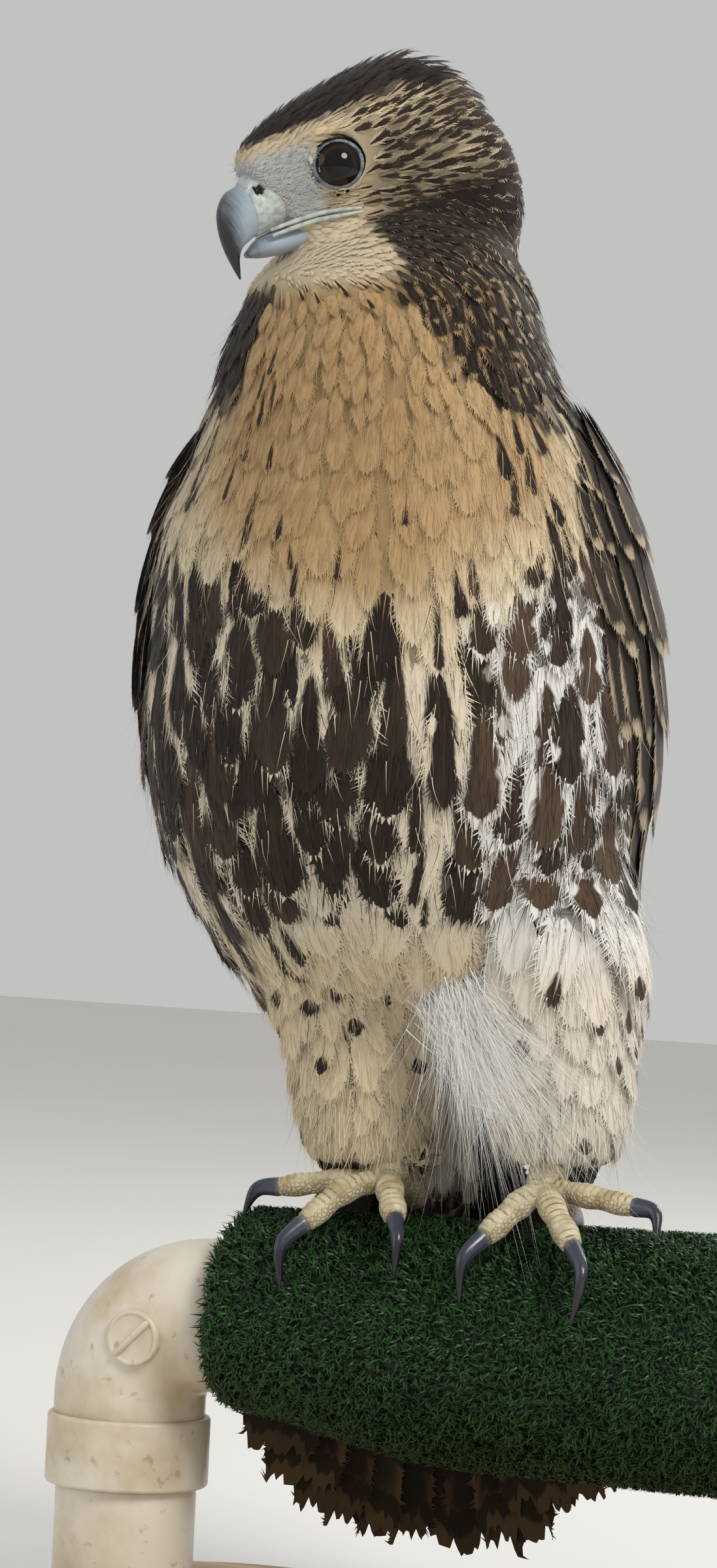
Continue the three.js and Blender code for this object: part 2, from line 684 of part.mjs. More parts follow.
function clawSolid(join, toe) {
  const tip = vector(...toe.claw);
  const points = toePoints(join, toe);
  const start = points.at(-1);
  const along = start.clone().sub(points.at(-2)).normalize();
  const root = start.clone().addScaledVector(along, gap);
  const reach = root.distanceTo(tip);
  const crest = root.clone().addScaledVector(along, reach * 0.42).lerp(tip, 0.16).addScaledVector(upAxis, 1.5);
  return solidOf(limb([root, crest, tip], [clawRadius, clawRadius * 0.9, clawRadius * 0.55, 0.35], 7, 5));
}

// Perch and stand
const elbowSteps = 5;

function turfOutline(x, grow = 0) {
  const share = (x - turf.left) / (turf.right - turf.left);
  const top = THREE.MathUtils.lerp(turf.topLeft, turf.topRight, share) + grow;
  const sag = THREE.MathUtils.smoothstep(share, 0, 0.45);
  const bottom = THREE.MathUtils.lerp(turf.bottomLeft, turf.bottomMiddle, sag) + grow;
  const toEnd = Math.min(x - turf.left, turf.right - x);
  const edge = Math.max(0, 1 - toEnd / turf.round);
  const inset = turf.round * 0.8 * (1 - Math.sqrt(1 - edge ** 2));
  const section = [];
  for (let side = 0; side < 22; side += 1) {
    const angle = (side / 22) * Math.PI * 2;
    const vertical = Math.sin(angle) * ((Math.sin(angle) > 0 ? top : bottom) - inset);
    section.push(vector(x, Math.cos(angle) * (turf.side + grow - inset), pipe.axisHeight + vertical));
  }
  return section;
}

function turfForm(grow = 0) {
  const { left, right } = turf;
  const stops = [left, left + 2, left + turf.round, -40, 0, 45, right - turf.round, right - 2, right];
  return solidOf(loft(stops.map((x) => turfOutline(x, grow))));
}

function rod(radius, height, centre, sides = 24) {
  return new THREE.CylinderGeometry(radius, radius, height, sides).rotateX(Math.PI / 2).translate(...centre);
}

function crossRod(radius, from, to) {
  const tube = new THREE.CylinderGeometry(radius, radius, to - from, 24).rotateZ(Math.PI / 2);
  return solidOf(tube.translate((from + to) / 2, 0, pipe.axisHeight));
}

// A quarter bend with a straight stub up to the turf, a hub for the post and a moulded boss
function elbowSolid(side) {
  const postX = side > 0 ? pipe.postLeft : pipe.postRight;
  const bendX = postX - elbow.bend;
  const bendZ = pipe.axisHeight - elbow.bend;
  const stubX = (side > 0 ? turf.right : -turf.left) + gap;
  const ring = (turn, shiftX, shiftZ) => {
    const section = [];
    for (let index = 0; index < 16; index += 1) {
      const angle = (index / 16) * Math.PI * 2;
      const radial = elbow.bend + Math.cos(angle) * elbow.radius;
      const x = bendX + Math.sin(turn) * radial + shiftX;
      const z = bendZ + Math.cos(turn) * radial + shiftZ;
      section.push(vector(x * side, Math.sin(angle) * elbow.radius, z));
    }
    return section;
  };
  const sections = [ring(0, Math.min(stubX - bendX, -0.5), 0)];
  for (let step = 0; step <= elbowSteps; step += 1) {
    sections.push(ring(((step / elbowSteps) * Math.PI) / 2, 0, 0));
  }
  sections.push(ring(Math.PI / 2, 0, elbow.hubTop - bendZ - 1));
  const hubHeight = elbow.hubTop - elbow.hubBottom;
  const hub = rod(elbow.hubRadius, hubHeight, [postX * side, 0, elbow.hubBottom + hubHeight / 2]);
  const bossPlace = [(postX - 13) * side, -23.5, 97];
  const boss = new THREE.CylinderGeometry(9.5, 9.5, 8, 18).translate(...bossPlace);
  const slant = new THREE.Matrix4().makeRotationY(radians(45));
  const slot = boxSolid([15, 1.4, 2], [bossPlace[0], -27.3, bossPlace[2]], slant);
  return joined([solidOf(loft(sections)), solidOf(hub), solidOf(boss)]).subtract(slot);
}

function baseSolid() {
  const outline = new THREE.Shape();
  const straight = base.halfLength - base.halfDepth;
  outline.absarc(base.centreX + straight, 0, base.halfDepth, -Math.PI / 2, Math.PI / 2);
  outline.absarc(base.centreX - straight, 0, base.halfDepth, Math.PI / 2, Math.PI * 1.5);
  const cut = { depth: base.height, bevelEnabled: false, curveSegments: 12 };
  const slab = new THREE.ExtrudeGeometry(outline, cut);
  return solidOf(slab);
}

// Assembly
const finishes = {
  crown: { color: 0x33261d, roughness: 0.85 },
  neck: { color: 0x5d452f, roughness: 0.85 },
  breast: { color: 0xc79b68, roughness: 0.9 },
  legFeather: { color: 0xd9c7a4, roughness: 0.9 },
  wing: { color: 0x4a3a2e, roughness: 0.8 },
  tail: { color: 0x5a4636, roughness: 0.8 },
  eye: { color: 0x1a1310, roughness: 0.08 },
  cere: { color: 0x9fb0ab, roughness: 0.5 },
  bill: { color: 0x3d454e, roughness: 0.35 },
  foot: { color: 0xcabd8e, roughness: 0.65 },
  claw: { color: 0x14161b, roughness: 0.3 },
  plastic: { color: 0xd8cdbb, roughness: 0.45 },
  turf: { color: 0x1d4a26, roughness: 0.95 },
  board: { color: 0xb9a58a, roughness: 0.6 },
};

const hawk = new THREE.Group();

function place(name, solid, finish) {
  const material = new THREE.MeshStandardMaterial({ ...finishes[finish], metalness: 0 });
  const mesh = new THREE.Mesh(geometryOf(solid), material);
  mesh.name = name;
  hawk.add(mesh);
}

const trunk = trunkSolid();
const trunkClear = trunkSolid(gap);
const headShape = headForm();
const neckCut = boxSolid([300, 300, gap], [0, 0, neckHeight]);
const halves = trunk.subtract(neckCut).decompose();
const isNeck = (solid) => solid.boundingBox().min[2] > neckHeight - 1;
const torso = halves.find((solid) => !isNeck(solid));
const sides = [['left', 1], ['right', -1]];
const lipDrop = 2.6;
const lips = (grow) => joined(sides.flatMap(([, side]) => [lip(side, 0, grow), lip(side, lipDrop, grow)]));
const features = joined([...sides.flatMap(([, side]) => [lids(side), brow(side)]), lips(0)]);
const neckClear = joined([headForm(gap), lips(gap), lowerBillForm(gap)]);
const neck = halves.find(isNeck).subtract(neckClear);
const sockets = joined(sides.map(([, side]) => eyeball(side, gap)));
const bareHead = headShape.add(features).subtract(faceCutter(0));
const upperBill = billForm();
const lowerBill = lowerBillForm();

place('head', bareHead.subtract(sockets), 'crown');
place('neck', neck, 'neck');
for (const [name, side] of sides) place(`eye_${name}`, eyeball(side), 'eye');

// The cere ends where the horn of the bill begins
const hornStart = 28.9;
const hornLine = (shift) => inHead(new THREE.BoxGeometry(60, 60, 80).translate(hornStart + 30 + shift, 0, 0));
const faceKeep = faceCutter(gap);
const upperAhead = upperBill.intersect(faceKeep);
const cere = upperAhead.subtract(hornLine(0)).subtract(nostril(1)).subtract(nostril(-1));
place('cere', cere, 'cere');
place('beak_upper', upperAhead.intersect(hornLine(gap)), 'bill');
place('beak_lower', lowerBill.intersect(faceKeep).subtract(upperBill), 'bill');

const thighCutters = joined(legs.map((leg) => thighSolid(leg, gap)));
place('torso', torso, 'breast');
for (const leg of legs) {
  place(`leg_feathers_${leg.side}`, thighSolid(leg).subtract(trunkClear), 'legFeather');
}

const turfClear = turfForm(gap);
for (const leg of legs) {
  place(`foot_${leg.side}`, footSolid(leg).subtract(turfClear).subtract(thighCutters), 'foot');
  for (const toe of leg.toes) {
    place(`claw_${leg.side}_${toe.name}`, clawSolid(leg.join, toe).subtract(turfClear), 'claw');
  }
}

const tailShape = joined([tailRoot(), ...tailVanes()]);
place('tail', tailShape.subtract(trunkClear).subtract(thighCutters), 'tail');

for (const [name, side] of sides) {
  const wing = joined([wingPad(side), ...wingVanes(side)]);
  place(`wing_${name}`, wing.subtract(trunkClear).subtract(thighCutters), 'wing');
}

const bore = crossRod(pipe.radius + gap, turf.left - 1, turf.right + 1);
place('perch_turf', turfForm().subtract(bore), 'turf');
place('perch_pipe', crossRod(pipe.radius, turf.left, turf.right), 'plastic');
for (const [name, side] of sides) {
  const postHeight = elbow.hubBottom - base.height - 2 * gap;
  const postX = side > 0 ? pipe.postLeft : -pipe.postRight;
  const centre = [postX, 0, base.height + gap + postHeight / 2];
  place(`perch_elbow_${name}`, elbowSolid(side), 'plastic');
  place(`stand_post_${name}`, solidOf(rod(pipe.radius, postHeight, centre)), 'plastic');
}
place('stand_base', baseSolid(), 'board');

export default hawk;
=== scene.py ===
# %% [markdown]
# # A juvenile red-tailed hawk on its perch
# The bird is life size and still. It grips a short length of plastic pipe wrapped in green turf, held by
# a plain stand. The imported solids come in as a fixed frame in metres. The pieces made here take their
# places in the same frame, and add what a solid can't carry: feathers, down, lids, lips and pile.

# %% Load the frame
import math

import bpy
import numpy as np
from mathutils import Matrix, Vector
from mathutils.bvhtree import BVHTree
from mathutils.kdtree import KDTree


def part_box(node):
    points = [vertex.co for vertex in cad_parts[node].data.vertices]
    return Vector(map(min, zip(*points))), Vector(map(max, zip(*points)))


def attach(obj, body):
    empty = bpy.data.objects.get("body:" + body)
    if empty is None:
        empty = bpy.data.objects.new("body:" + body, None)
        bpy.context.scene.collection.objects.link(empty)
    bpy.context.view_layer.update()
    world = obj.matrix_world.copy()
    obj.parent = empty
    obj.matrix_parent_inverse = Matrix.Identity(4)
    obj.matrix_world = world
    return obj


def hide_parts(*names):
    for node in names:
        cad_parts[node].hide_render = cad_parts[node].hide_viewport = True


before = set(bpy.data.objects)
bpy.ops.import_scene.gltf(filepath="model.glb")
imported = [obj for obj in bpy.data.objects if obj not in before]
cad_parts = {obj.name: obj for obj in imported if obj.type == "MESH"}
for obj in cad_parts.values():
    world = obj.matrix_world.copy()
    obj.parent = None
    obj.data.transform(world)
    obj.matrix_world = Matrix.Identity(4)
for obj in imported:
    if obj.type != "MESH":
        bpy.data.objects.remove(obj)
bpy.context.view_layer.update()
mm = 0.001

# %% [markdown]
# ## Camera
# The photograph was taken with a long lens, level with the bird's belly and a little to its left. The
# picture leans by almost three degrees, so the camera is built from its own three axes: where it looks,
# its right-hand side and its top, the last two turned by the lean.

# %% Place the camera
camera_turn = math.radians(24)
camera_lean = math.radians(2.7)
camera_place = Vector((630.8, -1527.4, 287)) * mm
lens_length = 76  # millimetres, for a sensor 24 mm along the picture's long side

ahead = Vector((-math.sin(camera_turn), math.cos(camera_turn), 0))
level = Vector((math.cos(camera_turn), math.sin(camera_turn), 0))
upright = Vector((0, 0, 1))
camera_right = level * math.cos(camera_lean) + upright * math.sin(camera_lean)
camera_top = upright * math.cos(camera_lean) - level * math.sin(camera_lean)

camera = bpy.data.objects.new("camera", bpy.data.cameras.new("camera"))
camera.data.lens = lens_length
camera.data.sensor_width = 24
camera.data.clip_end = 20
turn = Matrix((camera_right, camera_top, -ahead)).transposed()
camera.matrix_world = Matrix.Translation(camera_place) @ turn.to_4x4()
bpy.context.scene.collection.objects.link(camera)
bpy.context.scene.camera = camera
print("camera looks along", [round(c, 3) for c in ahead])

# %% [markdown]
# ## Floor and light
# A pale floor runs on into a pale world, so nothing competes with the plumage. One big lamp high on the
# right gives the feathers their form, a weaker one on the left fills the shade, and one behind draws a
# thin bright rim round the loose barbs, as daylight does in the photograph.

# %% Set the floor and the lamps
def studio_lamp(name, place, aim, size, power, colour):
    light = bpy.data.lights.new(name, "AREA")
    light.shape = "DISK"
    light.size = size
    light.energy = power
    light.color = colour
    lamp = bpy.data.objects.new(name, light)
    lamp.location = place
    lamp.rotation_euler = (Vector(aim) - Vector(place)).to_track_quat("-Z", "Y").to_euler()
    bpy.context.scene.collection.objects.link(lamp)


bird_middle = (0, 0, 0.3)
studio_lamp("key_lamp", (1.5, -1.0, 1.7), bird_middle, 0.9, 34, (1.0, 0.97, 0.93))
studio_lamp("fill_lamp", (-1.6, -1.3, 0.9), bird_middle, 1.4, 6, (0.93, 0.96, 1.0))
studio_lamp("rim_lamp", (0.6, 1.6, 1.2), bird_middle, 0.8, 16, (0.95, 0.97, 1.0))

world = bpy.data.worlds.new("pale_room")
bpy.context.scene.world = world
world.use_nodes = True
world.node_tree.nodes["Background"].inputs["Color"].default_value = (0.90, 0.90, 0.885, 1)
world.node_tree.nodes["Background"].inputs["Strength"].default_value = 0.6
bpy.context.scene.view_settings.view_transform = "Standard"
print("lamps:", [light.name for light in bpy.data.lights])

# %% [markdown]
# ## Finishes as arithmetic
# A finish is a small network of nodes. Written by hand, each sum or product would take four lines, so
# two helpers come first. `Signal` wraps a socket and turns +, -, * and / into Math nodes. `Finish` holds
# one material, adds any other node by its one method, and feeds the shader.

# %% Signals and finishes
class Signal:
    """A number or colour that varies over a surface."""

    def __init__(self, finish, socket):
        self.finish = finish
        self.socket = socket

    def sum(self, operation, *values):
        settings = {"operation": operation}
        return self.finish.node("ShaderNodeMath", settings, dict(enumerate(values)))

    def __add__(self, other):
        return self.sum("ADD", self, other)

    def __sub__(self, other):
        return self.sum("SUBTRACT", self, other)

    def __rsub__(self, other):
        return self.sum("SUBTRACT", other, self)

    def __mul__(self, other):
        return self.sum("MULTIPLY", self, other)

    def __truediv__(self, other):
        return self.sum("DIVIDE", self, other)

    def __pow__(self, other):
        return self.sum("POWER", self, other)

    def __abs__(self):
        return self.sum("ABSOLUTE", self)

    __radd__ = __add__
    __rmul__ = __mul__

    def most(self, other):
        return self.sum("MAXIMUM", self, other)

    def wave(self):
        return self.sum("SINE", self)

    def ease(self, low, high, start=0.0, end=1.0):
        """Runs smoothly from start to end while the signal goes from low to high."""
        sockets = {"Value": self, "From Min": low, "From Max": high, "To Min": start, "To Max": end}
        return self.finish.node("ShaderNodeMapRange", {"interpolation_type": "SMOOTHSTEP"}, sockets)


class Finish:
    """One material. Its constants go straight on the shader."""

    def __init__(self, name, constants):
        self.material = bpy.data.materials.new(name)
        self.material.use_nodes = True
        self.tree = self.material.node_tree
        self.shader = self.tree.nodes["Principled BSDF"]
        for socket, value in constants.items():
            self.shader.inputs[socket].default_value = value

    def node(self, kind, settings=None, sockets=None, output=0):
        made = self.tree.nodes.new(kind)
        for name, value in (settings or {}).items():
            setattr(made, name, value)
        for name, value in (sockets or {}).items():
            if isinstance(value, Signal):
                self.tree.links.new(value.socket, made.inputs[name])
            else:
                made.inputs[name].default_value = value
        return Signal(self, made.outputs[output])

    def read(self, name):
        """A number stored on the mesh."""
        return self.node("ShaderNodeAttribute", {"attribute_name": name}, output="Fac")

    def place(self):
        return self.node("ShaderNodeTexCoord", output="Object")

    def vector(self, x, y, z):
        return self.node("ShaderNodeCombineXYZ", None, {"X": x, "Y": y, "Z": z})

    def noise(self, vector, scale, detail=2.0, roughness=0.5):
        sockets = {"Vector": vector, "Scale": scale, "Detail": detail, "Roughness": roughness}
        return self.node("ShaderNodeTexNoise", None, sockets)

    def blend(self, share, first, second, way="MIX"):
        """Two colours mixed, or laid over each other in another way."""
        settings = {"data_type": "RGBA", "blend_type": way}
        return self.node("ShaderNodeMix", settings, {0: share, 6: first, 7: second}, output=2)

    def feed(self, **signals):
        for name, signal in signals.items():
            self.tree.links.new(signal.socket, self.shader.inputs[name.replace("_", " ")])
        return self

    def bump(self, height, distance, strength=1.0):
        sockets = {"Height": height, "Distance": distance, "Strength": strength}
        return self.feed(Normal=self.node("ShaderNodeBump", None, sockets))


def colour(red, green, blue):
    """A colour named by its 0 to 255 screen values, as the linear numbers that shaders use."""
    shares = [value / 255 for value in (red, green, blue)]
    linear = [c / 12.92 if c <= 0.04045 else ((c + 0.055) / 1.055) ** 2.4 for c in shares]
    return (*linear, 1.0)


print("cream in linear numbers:", [round(c, 2) for c in colour(226, 212, 186)])

# %% [markdown]
# ## Meshes from arrays
# Thousands of feathers are too many to add one by one, so their points and faces are worked out with
# numpy and handed to Blender in one go. Every piece is still, so each rides on the model's only body.

# %% Mesh helpers
def lengths_of(vectors):
    return np.linalg.norm(vectors, axis=-1, keepdims=True)


def unit(vectors):
    return vectors / np.maximum(lengths_of(vectors), 1e-12)


def circle(sides):
    """Angles spread evenly round a full turn."""
    return np.linspace(0, 2 * np.pi, sides, endpoint=False)


def ease(value, low, high):
    share = np.clip((np.asarray(value, float) - low) / (high - low), 0, 1)
    return share * share * (3 - 2 * share)


def mesh_object(name, points, faces):
    blocks = [np.asarray(block, np.int32) for block in faces if len(block)]
    corners = np.concatenate([block.ravel() for block in blocks])
    counts = np.concatenate([np.full(len(block), block.shape[1]) for block in blocks])
    starts = np.concatenate([[0], np.cumsum(counts)[:-1]])
    mesh = bpy.data.meshes.new(name)
    mesh.vertices.add(len(points))
    mesh.vertices.foreach_set("co", np.asarray(points, np.float32).ravel())
    mesh.loops.add(len(corners))
    mesh.loops.foreach_set("vertex_index", corners.astype(np.int32))
    mesh.polygons.add(len(counts))
    mesh.polygons.foreach_set("loop_start", starts.astype(np.int32))
    mesh.polygons.foreach_set("use_smooth", np.ones(len(counts), bool))
    mesh.update(calc_edges=True)
    made = bpy.data.objects.new(name, mesh)
    bpy.context.scene.collection.objects.link(made)
    return made


def new_piece(name, points, faces, finish, material_slot, stands_for=(), values=None):
    """A finished piece. Values are stored on its points for the finish to read, each given point by
    point or once for all of them."""
    piece = mesh_object(name, points, faces)
    piece.data.materials.append(finish.material)
    for key, numbers in (values or {}).items():
        stored = piece.data.attributes.new(key, "FLOAT", "POINT")
        numbers = np.ravel(numbers) * np.ones(len(points))
        stored.data.foreach_set("value", numbers.astype(np.float32))
    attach(piece, "root")
    if stands_for:
        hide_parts(*stands_for)
    triangles = sum(len(polygon.vertices) - 2 for polygon in piece.data.polygons)
    piece_sizes[name] = triangles
    print(f"{name}: {triangles} triangles")
    return piece


piece_sizes = {}


print("circle of four, in degrees:", np.degrees(circle(4)))

# %% [markdown]
# ## Curves, rings and tubes
# A bill, a toe or a claw is a row of sections along a bent line. A smooth curve is put through a few
# measured places, rings are set along it, and neighbouring rings are joined by faces. Modelling by hand
# would give the same form, but a row of numbers is easier to correct against the photograph.

# %% Curves, rings and tubes
def smooth_curve(places, values):
    """A smooth curve through values at places, read anywhere between the first and last place."""
    places = np.asarray(places, float)
    values = np.asarray(values, float)
    slopes = np.gradient(values, places, axis=0)

    def read(at):
        at = np.clip(np.asarray(at, float), places[0], places[-1])
        low = np.clip(np.searchsorted(places, at, side="right") - 1, 0, len(places) - 2)
        shape = at.shape + (1,) * (values.ndim - 1)
        step = (places[low + 1] - places[low]).reshape(shape)
        t = (at - places[low]).reshape(shape) / step
        start = (1 + 2 * t) * (1 - t) ** 2 * values[low] + t * (1 - t) ** 2 * step * slopes[low]
        end = t * t * (3 - 2 * t) * values[low + 1] + t * t * (t - 1) * step * slopes[low + 1]
        return start + end

    return read


def path_through(points, steps):
    """Evenly read places on a smooth path through a few points."""
    points = np.asarray(points, float)
    reach = np.concatenate([[0], np.cumsum(lengths_of(np.diff(points, axis=0)))])
    return smooth_curve(reach / reach[-1], points)(np.linspace(0, 1, steps))


def ring_faces(rings, sides):
    """Quads between neighbouring rings, and triangles from two middle points that close the ends."""
    ring, side = np.meshgrid(np.arange(rings - 1), np.arange(sides), indexing="ij")
    here = ring * sides + side
    beside = ring * sides + (side + 1) % sides
    quads = np.stack([here, beside, beside + sides, here + sides], -1).reshape(-1, 4)
    side = np.arange(sides)
    beside = (side + 1) % sides
    last = (rings - 1) * sides
    first_cap = np.stack([np.full(sides, rings * sides), beside, side], -1)
    last_cap = np.stack([np.full(sides, rings * sides + 1), last + side, last + beside], -1)
    return [quads, np.concatenate([first_cap, last_cap])]


def closed_rings(rings):
    """Points and faces of a form given as an array of rings."""
    count, sides = rings.shape[:2]
    ends = np.stack([rings[0].mean(0), rings[-1].mean(0)])
    return np.concatenate([rings.reshape(-1, 3), ends]), ring_faces(count, sides)


def frame_along(path, over=(0, 0, 1)):
    """The directions along, across and over a path."""
    along = unit(np.gradient(path, axis=0))
    across = unit(np.cross(along, np.asarray(over, float)))
    return along, across, np.cross(across, along)


def tube(path, radii, sides, over=(0, 0, 1), depth=1.0):
    """A closed rod of changing radius along a path, oval where depth isn't 1."""
    along, across, top = frame_along(path, over)
    angle = circle(sides)[None, :, None]
    radii = np.asarray(radii, float).reshape(-1, 1, 1)
    ring = across[:, None] * np.cos(angle) + top[:, None] * np.sin(angle) * depth
    return closed_rings(path[:, None] + ring * radii)


print("faces between three rings of eight:", len(ring_faces(3, 8)[0]))

# %% [markdown]
# ## Forms fused into one
# Skin runs from one part of the body to the next without a seam. Overlapping forms are therefore put in
# one mesh, turned into small cubes and wrapped again by a remesh, and their points are then relaxed.

# %% Join, relax and fuse
def joined(blocks):
    """Several meshes, each given as points and faces, as one."""
    points, faces, start = [], [], 0
    for block_points, block_faces in blocks:
        points.append(block_points)
        faces.extend(np.asarray(face) + start for face in block_faces)
        start += len(block_points)
    return np.concatenate(points), faces


def triangles_of(faces):
    out = []
    for block in faces:
        block = np.asarray(block)
        out.extend(block[:, [0, k, k + 1]] for k in range(1, block.shape[1] - 1))
    return np.concatenate(out)


def point_normals(points, faces):
    corners = triangles_of(faces)
    a, b, c = (points[corners[:, k]] for k in range(3))
    area = np.cross(b - a, c - a)
    total = np.zeros_like(points)
    for k in range(3):
        for axis in range(3):
            total[:, axis] += np.bincount(corners[:, k], area[:, axis], len(points))
    return unit(total)


def relaxed(points, faces, rounds, strength=0.5):
    """Each point moves part of the way to the middle of its neighbours, a few times over."""
    corners = triangles_of(faces)
    ends = np.concatenate([corners[:, [0, 1]], corners[:, [1, 2]], corners[:, [2, 0]]])
    ends = np.concatenate([ends, ends[:, ::-1]])
    count = np.maximum(np.bincount(ends[:, 0], minlength=len(points)), 1)[:, None]
    for _ in range(rounds):
        total = [np.bincount(ends[:, 0], points[ends[:, 1], axis], len(points)) for axis in range(3)]
        points = points + (np.stack(total, -1) / count - points) * strength
    return points


def fused(blocks, voxel):
    """One closed surface round several overlapping ones, as points and four-sided faces."""
    points, faces = joined(blocks)
    made = mesh_object("fusing", points, faces)
    remesh = made.modifiers.new("fuse", "REMESH")
    remesh.mode = "VOXEL"
    remesh.voxel_size = voxel
    graph = bpy.context.evaluated_depsgraph_get()
    mesh = made.evaluated_get(graph).to_mesh()
    points = np.empty(len(mesh.vertices) * 3)
    mesh.vertices.foreach_get("co", points)
    corners = np.empty(len(mesh.polygons) * 4, np.int32)
    mesh.polygons.foreach_get("vertices", corners)
    made.evaluated_get(graph).to_mesh_clear()
    bpy.data.objects.remove(made)
    return points.reshape(-1, 3), [corners.reshape(-1, 4)]


def node_mesh(name, grow=0.0):
    """A solid's points and triangles from the frame, its points merged and moved out a little."""
    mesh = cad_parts[name].data
    mesh.calc_loop_triangles()
    points = np.empty(len(mesh.vertices) * 3)
    mesh.vertices.foreach_get("co", points)
    corners = np.empty(len(mesh.loop_triangles) * 3, np.int32)
    mesh.loop_triangles.foreach_get("vertices", corners)
    points = points.reshape(-1, 3)
    keys = np.round(points / (0.005 * mm)).astype(np.int64)
    _, first, merged = np.unique(keys, axis=0, return_index=True, return_inverse=True)
    faces = [merged.ravel()[corners].reshape(-1, 3)]
    points = points[first]
    return points + point_normals(points, faces) * grow, faces


# %% [markdown]
# ## Where things are
# Head, wings and tail each have a frame of their own, so that a place on them can be told in plain
# millimetres: so far ahead of the eyes, so far round the wing. The frames come from a few angles and
# from the solids' own boxes.

# %% Frames of the head and the body
def node_centre(name):
    low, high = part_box(name)
    return np.array((low + high) / 2)


head_heading = math.radians(-134)
head_pitch = math.radians(22.5)
body_yaw = math.radians(5)
eye_turn = math.radians(18)
eye_rise = math.radians(3)
eye_radius = 9.3 * mm
bird_sides = {"left": 1, "right": -1}

head_forward = np.array([
    math.cos(head_heading) * math.cos(head_pitch),
    math.sin(head_heading) * math.cos(head_pitch),
    -math.sin(head_pitch),
])
head_left = np.array([-math.sin(head_heading), math.cos(head_heading), 0])
head_up = np.cross(head_forward, head_left)
eyes_middle = (node_centre("eye_left") + node_centre("eye_right")) / 2 + head_forward * 0.9 * mm
body_left = np.array([math.cos(body_yaw), math.sin(body_yaw), 0])
body_front = np.array([math.sin(body_yaw), -math.cos(body_yaw), 0])


def eye_frame(side):
    """An eyeball's middle, in millimetres, and its axis, both in the head's frame."""
    outward = side * math.cos(eye_turn) * math.cos(eye_rise)
    axis = [math.sin(eye_turn) * math.cos(eye_rise), outward, math.sin(eye_rise)]
    return np.array([-0.9, 14.2 * side, 0]), np.array(axis)


def from_head(places):
    """Places in millimetres ahead of, left of and above the middle of the eyes, as scene places."""
    places = np.asarray(places, float) * mm
    axes = np.stack([head_forward, head_left, head_up])
    return eyes_middle + places @ axes


def to_head(points):
    return (points - eyes_middle) @ np.stack([head_forward, head_left, head_up]).T / mm


leg_top = 226
breast_floor = 335
neck_base = 418
trunk_heights = [186, 224, 255, 293, 335, 368, 400, 430, 450, 480]
trunk_middles = [(-37, 42), (-32.5, 14), (-34, 0), (-34.5, -10), (-32, -18),
                 (-32.5, -24), (-29.5, -28), (-32.5, -31), (-31, -32), (-28, -30)]
trunk_line = smooth_curve(trunk_heights, trunk_middles)


def round_body(points):
    """The angle of each point round the body, in degrees from the breast towards the bird's left."""
    middle = np.concatenate([trunk_line(points[:, 2] / mm) * mm, points[:, 2:]], 1)
    offset = points - middle
    return np.degrees(np.arctan2(offset @ body_left, offset @ body_front))


print("eyes' middle in millimetres:", np.round(eyes_middle / mm, 1))

# %% [markdown]
# ## The folded wing as a flat sheet
# A folded wing hugs the body and bends with it. It is described as a sheet: a height, and a share of the
# way across from its front edge to its back one. A few outlines, one for each height, say where that
# place is, so feathers can be laid out in rows on the sheet and follow the wing's form.

# %% Frame of the folded wings
wing_heights = [100, 150, 200, 224, 252, 300, 345, 385, 418]
wing_rows = {
    "x": [-38, -31, -23, -25, -32, -34, -32.5, -31, -30.5],
    "y": [37, 27, 15, 7, 0, -10, -19, -26, -30],
    "wide": [22, 46, 63, 71, 80, 91, 89, 78, 62.5],
    "back": [35, 39, 44, 49, 55, 62, 63, 61, 54],
    "start": [130, 116, 106, 102, 97, 92, 89, 88, 100],
    "end": [172, 173, 174, 174.5, 175, 175.5, 175.5, 172, 150],
    "thick": [7, 7, 8, 8, 8.5, 9, 9, 7, 1.6],
    "left_out": [12, 14, 7, 4, 1, 0, 0, 0, 0],
}
wing_outline = smooth_curve(wing_heights, np.array(list(wing_rows.values())).T)


def wing_place(height, share, side, raised=0.0):
    """A place on the folded wing, told by its height, its share of the way from the wing's front edge
    to its rear one, and how far it is raised. Side is 1 for the bird's left wing and -1 for its right."""
    x, y, wide, back, start, end, _, left_out = np.moveaxis(wing_outline(height), -1, 0)
    angle = np.radians(start + (end - start) * share) * side
    across = np.sin(angle) * (wide + raised) + np.where(side > 0, left_out, 0)
    front = np.cos(angle) * (np.where(np.cos(angle) > 0, wide * 0.85, back) + raised)
    middle = np.stack([x, y, np.broadcast_to(height, np.shape(x))], -1)
    return (middle + across[..., None] * body_left + front[..., None] * body_front) * mm


def wing_out(height, share, side):
    """The direction straight out of the wing at such a place."""
    step = 0.01
    round_way = wing_place(height, share + step, side) - wing_place(height, share - step, side)
    rise = wing_place(height + 1, share, side) - wing_place(height - 1, share, side)
    return unit(np.cross(round_way, rise)) * np.reshape(side, (-1, 1) if np.ndim(side) else ())


print("left wing's widest place:", np.round(wing_place(np.array(300.0), np.array(0.0), 1) / mm, 1))

# %% [markdown]
# ## One skin under the coat
# A real bird has one skin, so head, neck, trunk, thighs, the wings' fleshy parts and the root of the
# tail are fused into a single surface. Each solid is first grown by a hair so that they overlap, then
# a voxel remesh wraps them, a little smoothing takes the facets away, and the whole is drawn in by the
# depth of the coat that will lie on it.

